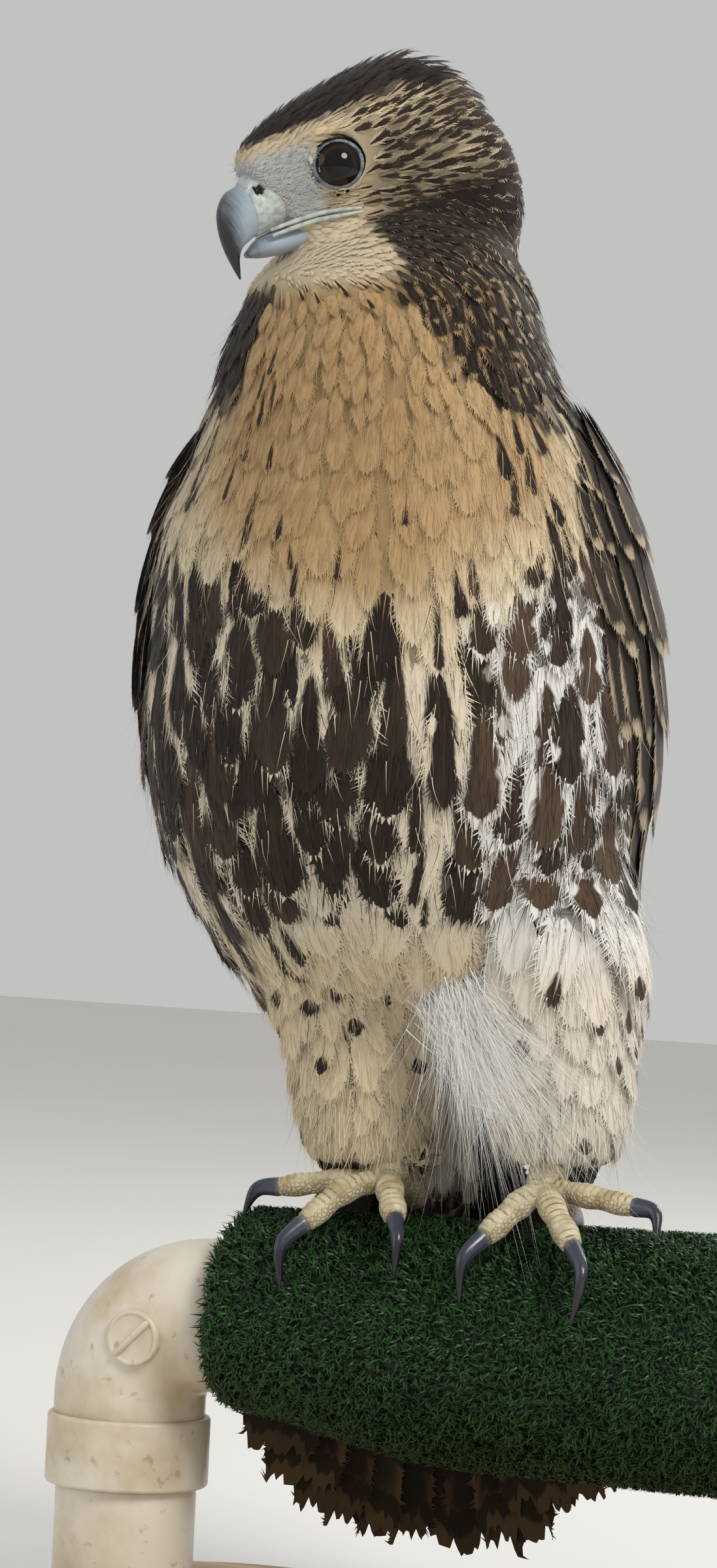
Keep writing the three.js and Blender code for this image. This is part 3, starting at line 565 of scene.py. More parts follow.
# %% Fuse the skin
fusing_overlap = 0.8 * mm
skin_voxel = 1.7 * mm
flesh_nodes = ["head", "neck", "torso", "leg_feathers_left", "leg_feathers_right"]
brow_line = [(13, 11.2, 8.2), (6, 14.4, 10.0), (-3, 16.2, 10.6), (-11, 16.0, 8.4)]
brow_width = [1.2, 2.0, 2.6, 2.9, 2.6, 1.6]
hip_line = [(26, 1, 240), (24, 0, 256), (21, -3, 275), (17, -6, 300)]


def wing_pad(side):
    """The fleshy part of a folded wing, as a closed form."""
    height = np.linspace(236, 417, 24)[:, None]
    share = np.linspace(0, 1, 18)[None, :]
    thick = wing_outline(height)[..., 6]
    tuck = thick * (0.15 + 0.85 * np.minimum(1, share * 3.5))
    outer = wing_place(height + 0 * share, share + 0 * height, side, tuck - thick)
    inner = wing_place(height + 0 * share, share + 0 * height, side, -thick - 9)[:, ::-1]
    rings = np.concatenate([outer, inner], 1)
    return closed_rings(rings if side > 0 else rings[:, ::-1])


tail_root_middle = np.array([-36, 37, 214]) * mm
tail_tip_middle = np.array([-34.5, 67, 19]) * mm
tail_length = float(np.linalg.norm(tail_tip_middle - tail_root_middle))
tail_down = (tail_tip_middle - tail_root_middle) / tail_length
tail_out = unit(np.cross(body_left, tail_down))
tail_out = tail_out * np.sign(tail_out[1])


def tail_root_form():
    """The covert-clad root of the tail, an oval that thins out downwards."""
    reach = np.array([-18, 12, 40, 70, 88]) * mm
    wide = np.array([25, 25, 23, 20, 13]) * mm
    deep = np.array([14, 11.5, 9, 6, 3]) * mm
    rings = []
    for at in np.linspace(reach[0], reach[-1], 20):
        angle = circle(28)[:, None]
        middle = tail_root_middle + tail_down * at - tail_out * 2.5 * mm
        across = body_left * np.cos(angle) * np.interp(at, reach, wide)
        rings.append(middle + across + tail_out * np.sin(angle) * np.interp(at, reach, deep))
    return closed_rings(np.array(rings))


def coat_depth(points):
    """How far the skin lies under the tips of the coat, from face to flank."""
    ahead_of_eyes, _, _ = to_head(points).T
    height = points[:, 2] / mm
    body = 2.6 + 2.4 * ease(-height, -440, -370)
    head = 1.7 - 0.9 * ease(ahead_of_eyes, -5, 24)
    leg = 1.4 * ease(-height, -235, -185)
    on_head = on_head_share(points)
    return (body * (1 - on_head) + head * on_head - leg) * mm


def on_head_share(points):
    """1 on the head and 0 on the neck and below."""
    above = to_head(points)[:, 2]
    return ease(above, -48, -32) * ease(points[:, 2] / mm, 438, 453)


blocks = [node_mesh(name, fusing_overlap) for name in flesh_nodes]
blocks += [wing_pad(1), wing_pad(-1), tail_root_form()]
for side in bird_sides.values():
    brow_path = path_through([(x, y * side, z) for x, y, z in brow_line], 24)
    brow_radii = np.interp(np.linspace(0, 1, 24), np.linspace(0, 1, 6), brow_width)
    blocks.append(tube(from_head(brow_path), brow_radii * mm, 16))
hip_radii = np.linspace(29, 25, 12)
blocks.append(tube(path_through(hip_line, 12) * mm, hip_radii * mm, 40, over=(0, 1, 0), depth=1.22))
skin_points, skin_faces = fused(blocks, skin_voxel)
skin_points = relaxed(skin_points, skin_faces, 10)
skin_normals = point_normals(skin_points, skin_faces)
draw_in = coat_depth(skin_points) + fusing_overlap
skin_points = skin_points - skin_normals * draw_in[:, None]
skin_points = relaxed(skin_points, skin_faces, 4)
skin_normals = point_normals(skin_points, skin_faces)
print("skin:", len(skin_points), "points")

# %% [markdown]
# ## Markings
# The markings of a young red-tail follow the tracts of its plumage: a black-brown crown, buff brow and
# streaked cheeks, dark sides to the neck, a plain buff breast, a belly band of big dark drops, pale
# legs with a few small diamonds, and a brown back. One function turns any place on the body into a few
# numbers between 0 and 1. Skin and coat both use it, so they always agree.

# %% Markings from a place on the body
def bump_at(value, middle, reach):
    """1 at the middle, easing to 0 at a distance of reach on both sides."""
    return 1 - ease(np.abs(value - middle), 0, reach)


def markings(points):
    """Numbers that say what a feather rooted at each place looks like."""
    height = points[:, 2] / mm
    angle = round_body(points)
    fore, side, above = to_head(points).T
    on_head = on_head_share(points)
    body = 1 - on_head
    wide = np.abs(angle - 12)
    rear = ease(np.abs(angle), 90, 112)

    # Trunk
    buff_ends = 334 + 26 * ease(wide, 15, 60)
    breast = ease(height, buff_ends - 14, buff_ends + 38) * (1 - ease(wide, 44, 84))
    flank = ease(angle, 34, 48) * (1 - rear) * (1 - ease(height, 345, 375))
    leg = 1 - ease(height, leg_top, leg_top + 18)
    band_top = 333 + 16 * ease(np.abs(angle - 16), 12, 45) + 12 * ease(angle, 40, 70)
    band_end = 233 - 14 * ease(-angle, 5, 45)
    band = ease(height, band_end, band_end + 16) * (1 - ease(height, band_top - 6, band_top + 12))
    pale_line = bump_at(angle - 0.04 * (height - 280), 27.5, 6)
    side_streaks = ease(wide, 26, 44) * ease(height, band_top - 10, band_top + 8)
    side_streaks = side_streaks * (1 - ease(height, 438, 452))
    few_drops = bump_at(height, band_top + 14, 20)
    right_edge = 15 + (450 - height) * 0.9
    left_edge = -31 - (450 - height) * 0.35
    dark_side = np.maximum(ease(angle - right_edge, -5, 8), ease(left_edge - angle, -4, 7))
    neck_side = dark_side * ease(height, 396, 412)
    throat_row = bump_at(height, 444, 8) * ease(fore, -6, 0) * (1 - rear)
    fold = bump_at(angle, 13, 7) * bump_at(height, 375, 40)
    warm = 0.2 + 0.1 * leg + 0.78 * breast - 0.15 * flank + 0.35 * fold
    warm = warm - 0.18 * breast * ease(angle, 20, 40)
    mark = np.maximum.reduce([
        band * (0.92 + 0.1 * flank) * (1 - 0.85 * pale_line),
        side_streaks * 0.4, few_drops * 0.42, leg * 0.62, throat_row * 0.6, 0.22 * breast])
    share = np.maximum.reduce([
        band * 0.97, side_streaks * 0.5, few_drops * 0.4, leg * 0.2, throat_row * 0.9, 0.03 * breast])
    length = np.clip(band + 0.75 * side_streaks + 0.5 * few_drops + 0.7 * throat_row, 0, 1)
    brown = np.maximum(rear, neck_side)

    # Head
    crown = ease(above + 0.05 * fore + 6 * ease(-fore, 26, 42), 13.5, 18)
    hind = ease(-fore, 40, 54)
    brow = bump_at(above + 0.05 * fore, 11.5, 4.5) * ease(-fore, -20, -8) * (1 - hind)
    eye_line = bump_at(above - 0.1 * fore, 3.5, 4) * ease(-fore, 8, 15)
    cheek = (1 - crown) * ease(-fore, 2, 12)
    malar = ease(-above - 0.06 * fore, 17, 23) * ease(-fore, 1, 9)
    chin = ease(-above, 12, 17) * ease(fore, -5, 2)
    lore = ease(fore, 5, 10) * (1 - ease(above, 7, 12)) * (1 - ease(-above, 11, 15))
    under_eye = bump_at(above, -13, 6) * ease(fore, -12, -4) * (1 - lore)
    head_brown = np.maximum.reduce([crown, malar * 0.95, eye_line * 0.85, 0.44 * cheek, 0.66 * hind])
    head_brown = head_brown * (1 - chin) * (1 - lore)
    head_brown = head_brown * (1 - 0.85 * brow * (1 - crown)) * (1 - 0.7 * under_eye)
    head_mark = np.clip(0.62 * cheek + 0.35 * hind + 0.15 * under_eye, 0, 1) * (1 - lore) * (1 - chin)
    head_warm = 0.46 * (1 - lore) * (1 - 0.45 * chin) - 0.2 * hind
    fringe = (0.3 + 0.7 * neck_side * ease(angle, 5, 25) + 0.3 * rear) * body
    fringe = fringe + (0.3 + 0.7 * hind + 0.35 * malar) * on_head * (1 - 0.7 * crown * (1 - hind))
    numbers = {
        "warm": warm * body + head_warm * on_head,
        "mark": mark * body + head_mark * on_head,
        "share": share * body + on_head,
        "long": length * body + on_head,
        "brown": brown * body + head_brown * on_head,
        "spots": flank * body,
        "fringe": fringe,
        "grey": lore * on_head,
        "bars": np.zeros(len(points)),
        "deep": on_head * (0.42 * crown + 0.25 * malar) + body * 0.2 * neck_side,
    }
    return {key: np.clip(value, 0, 1) for key, value in numbers.items()}


print("markings:", ", ".join(sorted(markings(skin_points[:1]))))

# %% [markdown]
# ## Plumage
# Every feather carries its own coordinates: `along` runs from root to tip and `across` from edge to
# edge. The plumage finish draws each feather's markings in those, with the edges of a mark frayed by a
# noise that runs along the barbs. The skin wears the same finish.

# %% The plumage finish
def plumage(name, roughness=0.82):
    """Feathers of any tract, from the numbers stored on them."""
    constants = {"Roughness": roughness, "Specular IOR Level": 0.22, "Sheen Weight": 0.12}
    finish = Finish(name, constants)
    read = finish.read
    along, across, seed, tone = (read(key) for key in ("along", "across", "seed", "tone"))
    warm, mark, brown, spots = (read(key) for key in ("warm", "mark", "brown", "spots"))
    fringe, grey, bars, length = (read(key) for key in ("fringe", "grey", "bars", "long"))
    edge = abs(across)
    barb = along - edge * 0.28
    fray = finish.noise(finish.vector(barb * 40, edge * 1.2, seed * 60), 1.0, 3.0, 0.6) - 0.5
    cloud = finish.noise(finish.vector(along * 2, across, seed * 40), 1.0, 2.0) - 0.5

    cream, buff = colour(208, 193, 163), colour(176, 147, 105)
    deep_buff, white = colour(146, 114, 76), colour(222, 221, 218)
    light_brown, dark_brown = colour(82, 66, 52), colour(38, 29, 23)
    ground = finish.blend(warm.ease(0.0, 0.3), white, cream)
    ground = finish.blend(warm.ease(0.25, 0.9), ground, buff)
    ground = finish.blend((warm + cloud * 0.3).ease(0.85, 1.25), ground, deep_buff)
    ground = finish.blend(grey, ground, colour(176, 178, 176))
    umber = finish.blend((seed + cloud + spots * 0.6).ease(0.45, 1.6), dark_brown, light_brown)

    start = 0.72 - length * 0.56
    top = (along + fray * 0.05 - start) / (0.92 - start)
    reach = (seed * 40.0).wave() * 0.05 + 0.05 - spots * 0.05
    end = (along + fray * 0.06 + edge * edge * 0.12 - reach).ease(0.86, 0.95, 1.0, 0.0)
    half = mark * (0.98 + cloud * 1.3) * top.most(0.0) ** 0.62 * end
    drop = (edge + fray * 0.28 - half).ease(-0.08, 0.08, 1.0, 0.0) * mark.ease(0.03, 0.1)
    worn_edge = (edge.most(along.ease(0.66, 1.0)) + fray * 0.35 + fringe * 0.24).ease(0.7, 1.02) * fringe
    full = (brown + (seed - 0.5) * 0.3).ease(0.15, 0.8) * (1.0 - worn_edge)
    dark = full.most(drop)
    rows = (along * 19.0 + seed * 3.0).wave()
    spot = (rows - abs(edge - 0.62) * 3.4 + fray * 0.8).ease(-0.1, 0.5) * spots
    dark = dark * (1.0 - spot)
    stripe = ((along * 44.0 - edge * 2.2 + fray * 1.6).wave()).ease(0.0, 0.5)
    skinned = finish.blend(dark, ground, umber)
    skinned = finish.blend(stripe * bars, skinned, colour(30, 22, 17))
    shaft = edge.ease(0.0, 0.05, 1.0, 0.0) * 0.2
    skinned = finish.blend(shaft * (1.0 - dark * 0.4), skinned, colour(120, 92, 62))
    shade = tone * (1.0 + fray * 0.16)
    light = finish.node("ShaderNodeCombineColor", None, {"Red": shade, "Green": shade, "Blue": shade})
    finish.feed(Base_Color=finish.blend(1.0, skinned, light, "MULTIPLY"))
    return finish.bump(fray + shaft * 0.6, 0.0003, 0.5)


plumage_finish = plumage("plumage")


print("nodes in the plumage finish:", len(plumage_finish.tree.nodes))

# %% [markdown]
# ## A flat place for each point
# Every piece of plumage needs an unwrap, so that its materials can be baked into pictures. The angle
# round the body runs across the picture and the height runs up it, with the two legs side by side at its
# foot. That keeps neighbours together, which an automatic unwrap of loose feathers wouldn't.

# %% Maps and unwraps
def skin_map(points):
    """Where each place on the body lies on a flat unwrap: the body above, the two legs below."""
    height = points[:, 2] / mm
    on_leg = height < leg_top
    left_leg = points[:, 0] > -8 * mm
    leg_middle = np.where(left_leg[:, None], [26, 0], [-44, 0]) * mm
    leg_angle = np.arctan2(points[:, 0] - leg_middle[:, 0], leg_middle[:, 1] - points[:, 1])
    leg_u = 0.02 + 0.44 * (leg_angle / (2 * np.pi) + 0.5) + np.where(left_leg, 0.5, 0.0)
    body_u = 0.02 + 0.96 * (round_body(points) / 360 + 0.5)
    u = np.where(on_leg, leg_u, body_u)
    v = np.where(on_leg, 0.02 + 0.20 * (height - 150) / 80, 0.26 + 0.7 * (height - leg_top) / 310)
    return np.stack([u, np.clip(v, 0.01, 0.99)], -1)


def give_map(piece, places):
    """Writes the unwrap named OFBake from one flat place for each point."""
    layer = piece.data.uv_layers.new(name="OFBake")
    corners = np.empty(len(piece.data.loops), np.int32)
    piece.data.loops.foreach_get("vertex_index", corners)
    layer.data.foreach_set("uv", places[corners].astype(np.float32).ravel())


# %% [markdown]
# ## The skin under the coat
# The skin can show between the edges of feathers, and a bare patch there would look like a fault. So
# the skin wears the plumage finish too, with the coat's own markings softened and its tone lowered as
# painted shade, so that a gap looks like shaded down. A denser coat would hide it as well, but would
# cost many more faces.

# %% Dress the skin
skin_numbers = markings(skin_points)
marked = skin_numbers["mark"] * skin_numbers.pop("share")
del skin_numbers["deep"]
skin_noise = np.random.default_rng(5).uniform(0, 1, len(skin_points))
# A tone of 0.72, below the feathers', darkens the skin as painted shade in the gaps between feathers.
skin_numbers |= {
    "brown": np.maximum(skin_numbers["brown"], marked * 0.6), "across": 0.4 + 0.1 * skin_noise,
    "along": 0.72, "seed": 0.4, "tone": 0.72, "mark": 0, "fringe": 0, "spots": 0,
}
hawk_skin = new_piece(
    "hawk_skin", skin_points, skin_faces, plumage_finish, "breast_feather", flesh_nodes, skin_numbers
)
give_map(hawk_skin, skin_map(skin_points))
skin_tree = BVHTree.FromPolygons(skin_points.tolist(), skin_faces[0].tolist())

# %% [markdown]
# ## A feather
# A contour feather is a shaft with barbs on both sides that hook into a vane and come loose at the rim.
# Drawing each barb would take millions of faces. Here the inner vane is one sheet, and only the rim is
# cut into barb tips, each a thin triangle that leans towards the feather's end. All feathers of a tract
# share one pattern of points, so thousands are bent and placed with a single array sum.

# %% The pattern of points in a feather
class Vane:
    """The pattern of one kind of feather: its cuts, how loose its rim is and how its end is rounded."""

    barb_half = 0.022

    def __init__(self, segments, tips, loose, lean, pointed=0.0, columns=1, widest=0.5, barbs=0, blunt=0.0):
        rows = np.linspace(0, 1, segments + 1)
        fine = np.linspace(0, 1, segments * tips + 1)
        middle_of_tip = (fine[1:] + fine[:-1]) / 2
        width_at = self.outline(pointed, widest, blunt)
        lines, faces3, faces4 = [], [], []

        def line(places, across, kind):
            """One line of points down the vane. Gives their numbers."""
            start = sum(len(earlier[0]) for earlier in lines)
            lines.append((places, across, np.full(len(places), float(kind))))
            return start + np.arange(len(places))

        shaft = line(rows, np.zeros(segments + 1), 0)
        for side in (-1, 1):
            inner = shaft
            for column in range(1, columns):
                share = column / columns * (1 - loose)
                outer = line(rows, side * share * width_at(rows), share)
                faces4.append(self.facing_out(side, inner[:-1], outer[:-1], outer[1:], inner[1:]))
                inner = outer
            rim = line(fine, side * (1 - loose) * width_at(fine), 1 - loose)
            tip = line(middle_of_tip, side * width_at(middle_of_tip), 1)
            outer = rim[::tips]
            faces4.append(self.facing_out(side, inner[:-1], outer[:-1], outer[1:], inner[1:]))
            for k in range(1, tips):
                faces3.append(self.facing_out(side, rim[:-1:tips], rim[k::tips], rim[k + 1::tips]))
            faces3.append(self.facing_out(side, rim[:-1], tip, rim[1:]))
        share, self.across, kind = (np.concatenate(part) for part in zip(*lines))
        self.is_tip = kind == 1
        self.along = share * (1 - lean) + lean * kind
        self.faces = [np.concatenate(faces4), np.concatenate(faces3)]
        self.size = len(self.along)
        self.paint_along, self.paint_across = self.along, self.across
        self.raised = np.zeros(self.size)
        if barbs:
            self.add_barbs(barbs, width_at)

    def add_barbs(self, count, width_at):
        """Loose barbs that lie over the sheet. Each is a sliver in the colour of its root."""
        draw = np.random.default_rng(count)
        root = draw.uniform(0.25, 0.92, count)
        side = draw.uniform(-0.92, 0.92, count) * width_at(root)
        reach = draw.uniform(0.12, 0.28, count)
        end = side * 1.12 + draw.normal(0, 0.05, count)
        more = {
            "along": np.stack([root, root, root + reach], 1).ravel(),
            "across": np.stack([side - self.barb_half, side + self.barb_half, end], 1).ravel(),
            "paint_along": np.repeat(root + reach * 0.3, 3),
            "paint_across": np.repeat(side, 3),
            "is_tip": np.tile([False, False, True], count),
            "raised": np.tile([0.0, 0.0, 1.0], count),
        }
        self.faces[1] = np.concatenate([self.faces[1], self.size + np.arange(count * 3).reshape(-1, 3)])
        for key, values in more.items():
            setattr(self, key, np.concatenate([getattr(self, key), values]))
        self.size += count * 3

    @staticmethod
    def facing_out(side, *corners):
        """Faces wound so that both halves of the vane face outwards."""
        return np.stack(corners if side > 0 else corners[::-1], -1)

    @staticmethod
    def outline(pointed, widest, blunt):
        def width_at(share):
            beyond = np.clip((share - widest) / (1 - widest), 0, 1 - blunt)
            rounded = np.sqrt(np.clip(1 - beyond ** 2, 0, 1))
            tapered = 1 - beyond ** 1.3
            swell = np.minimum(1, 0.35 + 0.65 * np.sqrt(np.clip(share / widest, 0, 1)))
            return swell * (rounded * (1 - pointed) + tapered * pointed)
        return width_at


contour_vane = Vane(segments=11, tips=5, loose=0.24, lean=0.24, pointed=0.3, barbs=80)
small_vane = Vane(segments=5, tips=2, loose=0.42, lean=0.3, pointed=0.5, widest=0.45, barbs=9)
hackle_vane = Vane(segments=8, tips=4, loose=0.3, lean=0.28, pointed=0.6, widest=0.45, barbs=40)
print("points in a contour feather:", contour_vane.size)

# %% [markdown]
# ## The lie of the coat
# Feathers start at the bill, run back over the head, down the neck and trunk, and hang over the legs.
# Each one is walked along the skin in short steps: at every step it turns with the surface but keeps
# some of its own stiffness, so it hugs the breast and still hangs free under the belly.

# %% Directions, sizes and the walk along the skin
stations = 6
showing_station = 4
body_stretch = 1.75


def lie_of_coat(points, normals):
    """The direction in which the feathers at each place point."""
    fore, side, above = to_head(points).T
    height = points[:, 2] / mm
    on_head = on_head_share(points)[:, None]
    swept = -head_forward + head_up * 0.1 + np.sign(side)[:, None] * head_left * 0.12
    swept = swept - head_up * (ease(-above, 0, 30) * 0.4 + ease(-above, 16, 32) * 1.7)[:, None]
    angle = np.radians(round_body(points))[:, None]
    low = ease(-height, -330, -230)[:, None]
    outward = body_left * np.sin(angle) + body_front * np.cos(angle)
    hanging = np.array([0, 0, -1.0]) + body_front * -0.12 - outward * low * 0.06
    tail_share = ease(points @ tail_out / mm, 22, 40)[:, None] * ease(-height, -250, -215)[:, None]
    hanging = hanging * (1 - tail_share) + tail_down * tail_share
    direction = swept * on_head + hanging * (1 - on_head)
    return unit(direction - normals * np.sum(direction * normals, 1, keepdims=True))


def spacing_at(points):
    """The distance between neighbouring feathers, in millimetres: close on the face, wide on the belly."""
    fore, _, above = to_head(points).T
    height = points[:, 2] / mm
    on_head = on_head_share(points)
    head = 2.9 - 1.3 * ease(fore, -16, 14) + 0.9 * ease(-fore, 28, 50)
    body = 3.9 + 1.5 * ease(-height, -440, -390) + 4.0 * ease(-height, -380, -335)
    body = body - 3.9 * ease(-height, -262, -226) - 1.3 * ease(-height, -205, -165)
    return head * on_head + body * (1 - on_head)


def walk_along(roots, normals, directions, lengths, tree, hold):
    """Places and outward directions at a few stations along each feather's shaft. Hold says how
    closely each feather follows the surface, from 0 to 1."""
    hold = np.reshape(hold, (-1, 1))
    place, out, along = roots.copy(), normals.copy(), directions.copy()
    places, outs = [place], [out]
    for _ in range(stations - 1):
        along = unit(along - out * np.sum(along * out, 1, keepdims=True))
        place = place + along * (lengths / (stations - 1))[:, None]
        hits = [tree.find_nearest(p) for p in place.tolist()]
        near = np.array([hit[0] for hit in hits])
        facing = np.array([hit[1] for hit in hits])
        height = np.sum((place - near) * facing, 1, keepdims=True)
        place = place - facing * np.where(height > 0, height * hold, height)
        out = unit(out * (1 - hold) + facing * hold)
        places.append(place)
        outs.append(out)
    return np.stack(places, 1), np.stack(outs, 1)


def upright_scale(points):
    """Points with their heights shortened on the body, where feathers stand further apart along
    their length than sideways."""
    height = points[:, 2] / mm
    heights = np.linspace(0, 560, 225)
    slope = 1 - (1 - 1 / body_stretch) * (1 - ease(heights, 425, 465))
    shortened = np.concatenate([[0], np.cumsum((slope[1:] + slope[:-1]) / 2 * np.diff(heights))])
    return np.concatenate([points[:, :2], np.interp(height, heights, shortened)[:, None] * mm], 1)


print("places on a feather's walk:", stations, "of which number", showing_station, "shows")

# %% [markdown]
# ## Roots spread evenly
# Feathers grow about as far apart everywhere in a tract. Many places are drawn at random on the skin,
# and each one that is kept clears away those near it, farther up and down than sideways. A particle
# system could spread them too, but here the roots are needed as numbers.

# %% Scatter the roots
def scatter(points, faces, spacing, allowed, seed):
    """Evenly spread places on a surface, closer where spacing is small. Gives places and normals."""
    draw = np.random.default_rng(seed)
    corners = triangles_of(faces)
    a, b, c = (points[corners[:, k]] for k in range(3))
    normal = np.cross(b - a, c - a)
    area = lengths_of(normal)[:, 0] / 2
    gap = spacing[corners].mean(1) * mm
    chance = area / gap ** 2 * allowed[corners].min(1)
    count = int(chance.sum() * 7)
    picked = draw.choice(len(corners), count, p=chance / chance.sum())
    u, v = draw.random((2, count, 1))
    over = u + v > 1
    u, v = np.where(over, 1 - u, u), np.where(over, 1 - v, v)
    spots = a[picked] + (b[picked] - a[picked]) * u + (c[picked] - a[picked]) * v
    reach = gap[picked]
    flattened = upright_scale(spots)
    tree = KDTree(count)
    for index, spot in enumerate(flattened.tolist()):
        tree.insert(spot, index)
    tree.balance()
    free = np.ones(count, bool)
    kept = []
    for index in range(count):
        if free[index]:
            kept.append(index)
            for _, other, _ in tree.find_range(flattened[index], reach[index]):
                free[other] = False
    return spots[kept], unit(normal[picked[kept]])


# %% [markdown]
# ## Feathers placed by the thousand
# A feather's pattern is flat. To lay it, each of its points is carried to a place on the feather's walk,
# moved sideways by the vane's width and lifted by camber, curl and a little chance. The same sums run
# over whole arrays, where separate objects with a modifier each would take hours.

# %% Bend and place many feathers at once
def lay_vanes(name, vane, places, outs, shape, numbers, finish, material_slot, flat_places,
              stands_for=(), seed=1, soft=0.0, worn=0.0):
    """Builds one piece from many feathers. Shape holds their half widths, lifts at root and tip, camber
    and how ragged they are; numbers are stored for the finish. Both are given feather by feather or once
    for all. Soft is how far the light falls on the feathers as on the body under them, which hides their
    edges as down does, and worn is the share of its length by which a feather's end is torn."""
    draw = np.random.default_rng(seed)
    count = len(places)
    shape = {key: np.reshape(np.zeros(count) + value, (-1, 1)) for key, value in shape.items()}
    at = np.minimum(vane.along, 1) * (places.shape[1] - 1)
    low = np.clip(at.astype(int), 0, places.shape[1] - 2)
    share = (at - low)[None, :, None]
    middle = places[:, low] * (1 - share) + places[:, low + 1] * share
    out = unit(outs[:, low] * (1 - share) + outs[:, low + 1] * share)
    along = unit(places[:, low + 1] - places[:, low])
    across = unit(np.cross(along, out))
    half = shape["half"]
    sideways, loose, stretch = (
        (draw.random((count, vane.size)) - 0.5) * shape["ragged"] * vane.is_tip for _ in range(3))
    sideways = vane.across[None] * (1 + sideways)
    lift = shape["root_lift"] * (1 - vane.along) + shape["tip_lift"] * vane.along
    lift = lift + shape["curl"] * np.clip(vane.along - 0.6, 0, 1) ** 2 * 6
    lift = lift - shape["camber"] * sideways ** 2 * half + shape["roll"] * sideways * half
    lift = lift + loose * half * 0.25 + shape["barb_lift"] * vane.raised
    reach = lengths_of(places[:, -1] - places[:, 0])
    points = middle + across * (sideways * half)[..., None] + out * lift[..., None]
    seed_turn = numbers["seed"][:, None] * 40
    tatter = 0.7 * np.sin(vane.across * 3 + seed_turn) * np.sin(vane.across * 7 + seed_turn * 2.3)
    tatter = tatter + 0.3 * np.sin(vane.across * 27 + seed_turn * 5) + 0.3
    stretch = stretch * 0.05 + np.maximum(vane.along - 1, 0)
    stretch = stretch - np.clip(tatter, 0, 1) * ease(vane.along, 0.8, 1) * worn
    points = points + along * stretch[..., None] * reach[:, None]
    shift = (np.arange(count) * vane.size)[:, None, None]
    faces = [(block[None] + shift).reshape(-1, block.shape[1]) for block in vane.faces]
    values = {"along": np.tile(vane.paint_along, count), "across": np.tile(vane.paint_across, count)}
    for key, value in numbers.items():
        if np.ndim(value) == 2:
            values[key] = value[:, low] * (1 - share[..., 0]) + value[:, low + 1] * share[..., 0]
        else:
            values[key] = np.repeat(np.zeros(count) + value, vane.size)
    points = points.reshape(-1, 3)
    piece = new_piece(name, points, faces, finish, material_slot, stands_for, values)
    if soft:
        facing = point_normals(points, faces)
        facing = unit(facing * (1 - soft) + out.reshape(-1, 3) * soft)
        piece.data.normals_split_custom_set_from_vertices(facing.tolist())
    patch = np.stack([vane.across * 0.0015, (vane.along - 0.5) * 0.0026], -1)
    give_map(piece, (flat_places[:, None] + patch[None]).reshape(-1, 2))
    return piece


def feather_numbers(places, draw, varied=0.14):
    """Markings where each feather shows, with each a little different from the next. The ground
    colour is read all along the feather, so that buff fades into cream without a step."""
    numbers = markings(places[:, showing_station])
    count, steps = places.shape[:2]
    ground = markings(places.reshape(-1, 3))
    numbers["warm"] = ground["warm"].reshape(count, steps)
    numbers["seed"] = draw.random(count)
    varied = varied * (1 - 0.7 * numbers["warm"][:, -1])
    numbers["tone"] = 1 + (draw.random(count) - 0.5) * varied - numbers.pop("deep")
    marked = draw.random(count) < numbers.pop("share")
    numbers["mark"] = numbers["mark"] * marked * (0.65 + 0.6 * draw.random(count))
    numbers["long"] = numbers["long"] * (0.75 + 0.35 * draw.random(count))
    return numbers


# %% [markdown]
# ## The coat
# The coat is laid in tracts, each a piece of its own. Nothing grows on the eyes, the cere or the line of
# the mouth. A tract's feathers are several times as long as their spacing, so that they overlap like
# tiles and only the end of each one shows.

# %% Lay the coat
def around_eyes(points):
    """How far each point is from the nearer eye's middle, in millimetres, off the eye's own axis."""
    off = []
    for side in bird_sides.values():
        middle, axis = eye_frame(side)
        away = to_head(points) - middle
        along = away @ axis
        radial = np.linalg.norm(away - along[:, None] * axis, axis=1)
        off.append(np.where(along > 0, radial, 99.0))
    return np.minimum(*off)


def ahead_of_face(points):
    """Millimetres ahead of the line where the feathers end at the cere."""
    fore, _, above = to_head(points).T
    slope = unit(np.array([28.4 - 18.5, 10 + 14]))
    return (fore - 23.4) * slope[1] - (above + 2) * slope[0]


def feathered(points):
    """1 where feathers may grow."""
    near_face = np.linalg.norm(to_head(points), axis=1) < 45
    on_bill = (ahead_of_face(points) > -1.2) & (to_head(points)[:, 2] > -20.5)
    bare = (around_eyes(points) < 8.6) | on_bill
    return 1.0 - (near_face & bare)


skin_spacing = spacing_at(skin_points)
roots, root_normals = scatter(skin_points, skin_faces, skin_spacing, feathered(skin_points), 17)
tilt, low_down = root_normals[:, 2], roots[:, 2] < 300 * mm
ledge = low_down & ((tilt > 0.62) | (tilt < -0.9) | ((tilt < -0.5) & (roots[:, 2] < 205 * mm)))
roots, root_normals = roots[~ledge], root_normals[~ledge]
root_spacing = spacing_at(roots)
order = np.argsort(-roots[:, 2])
roots, root_normals, root_spacing = roots[order], root_normals[order], root_spacing[order]
root_directions = lie_of_coat(roots, root_normals)
root_depth = coat_depth(roots)
on_head_roots = on_head_share(roots) > 0.5
print("feathers in the coat:", len(roots), "on the head:", int(on_head_roots.sum()))


# %% [markdown]
# ## One tract at a time
# Head, neck, breast, belly, legs and rump differ in the length, width and softness of their feathers. One
# function lays a tract, and the calls below only say how they differ.

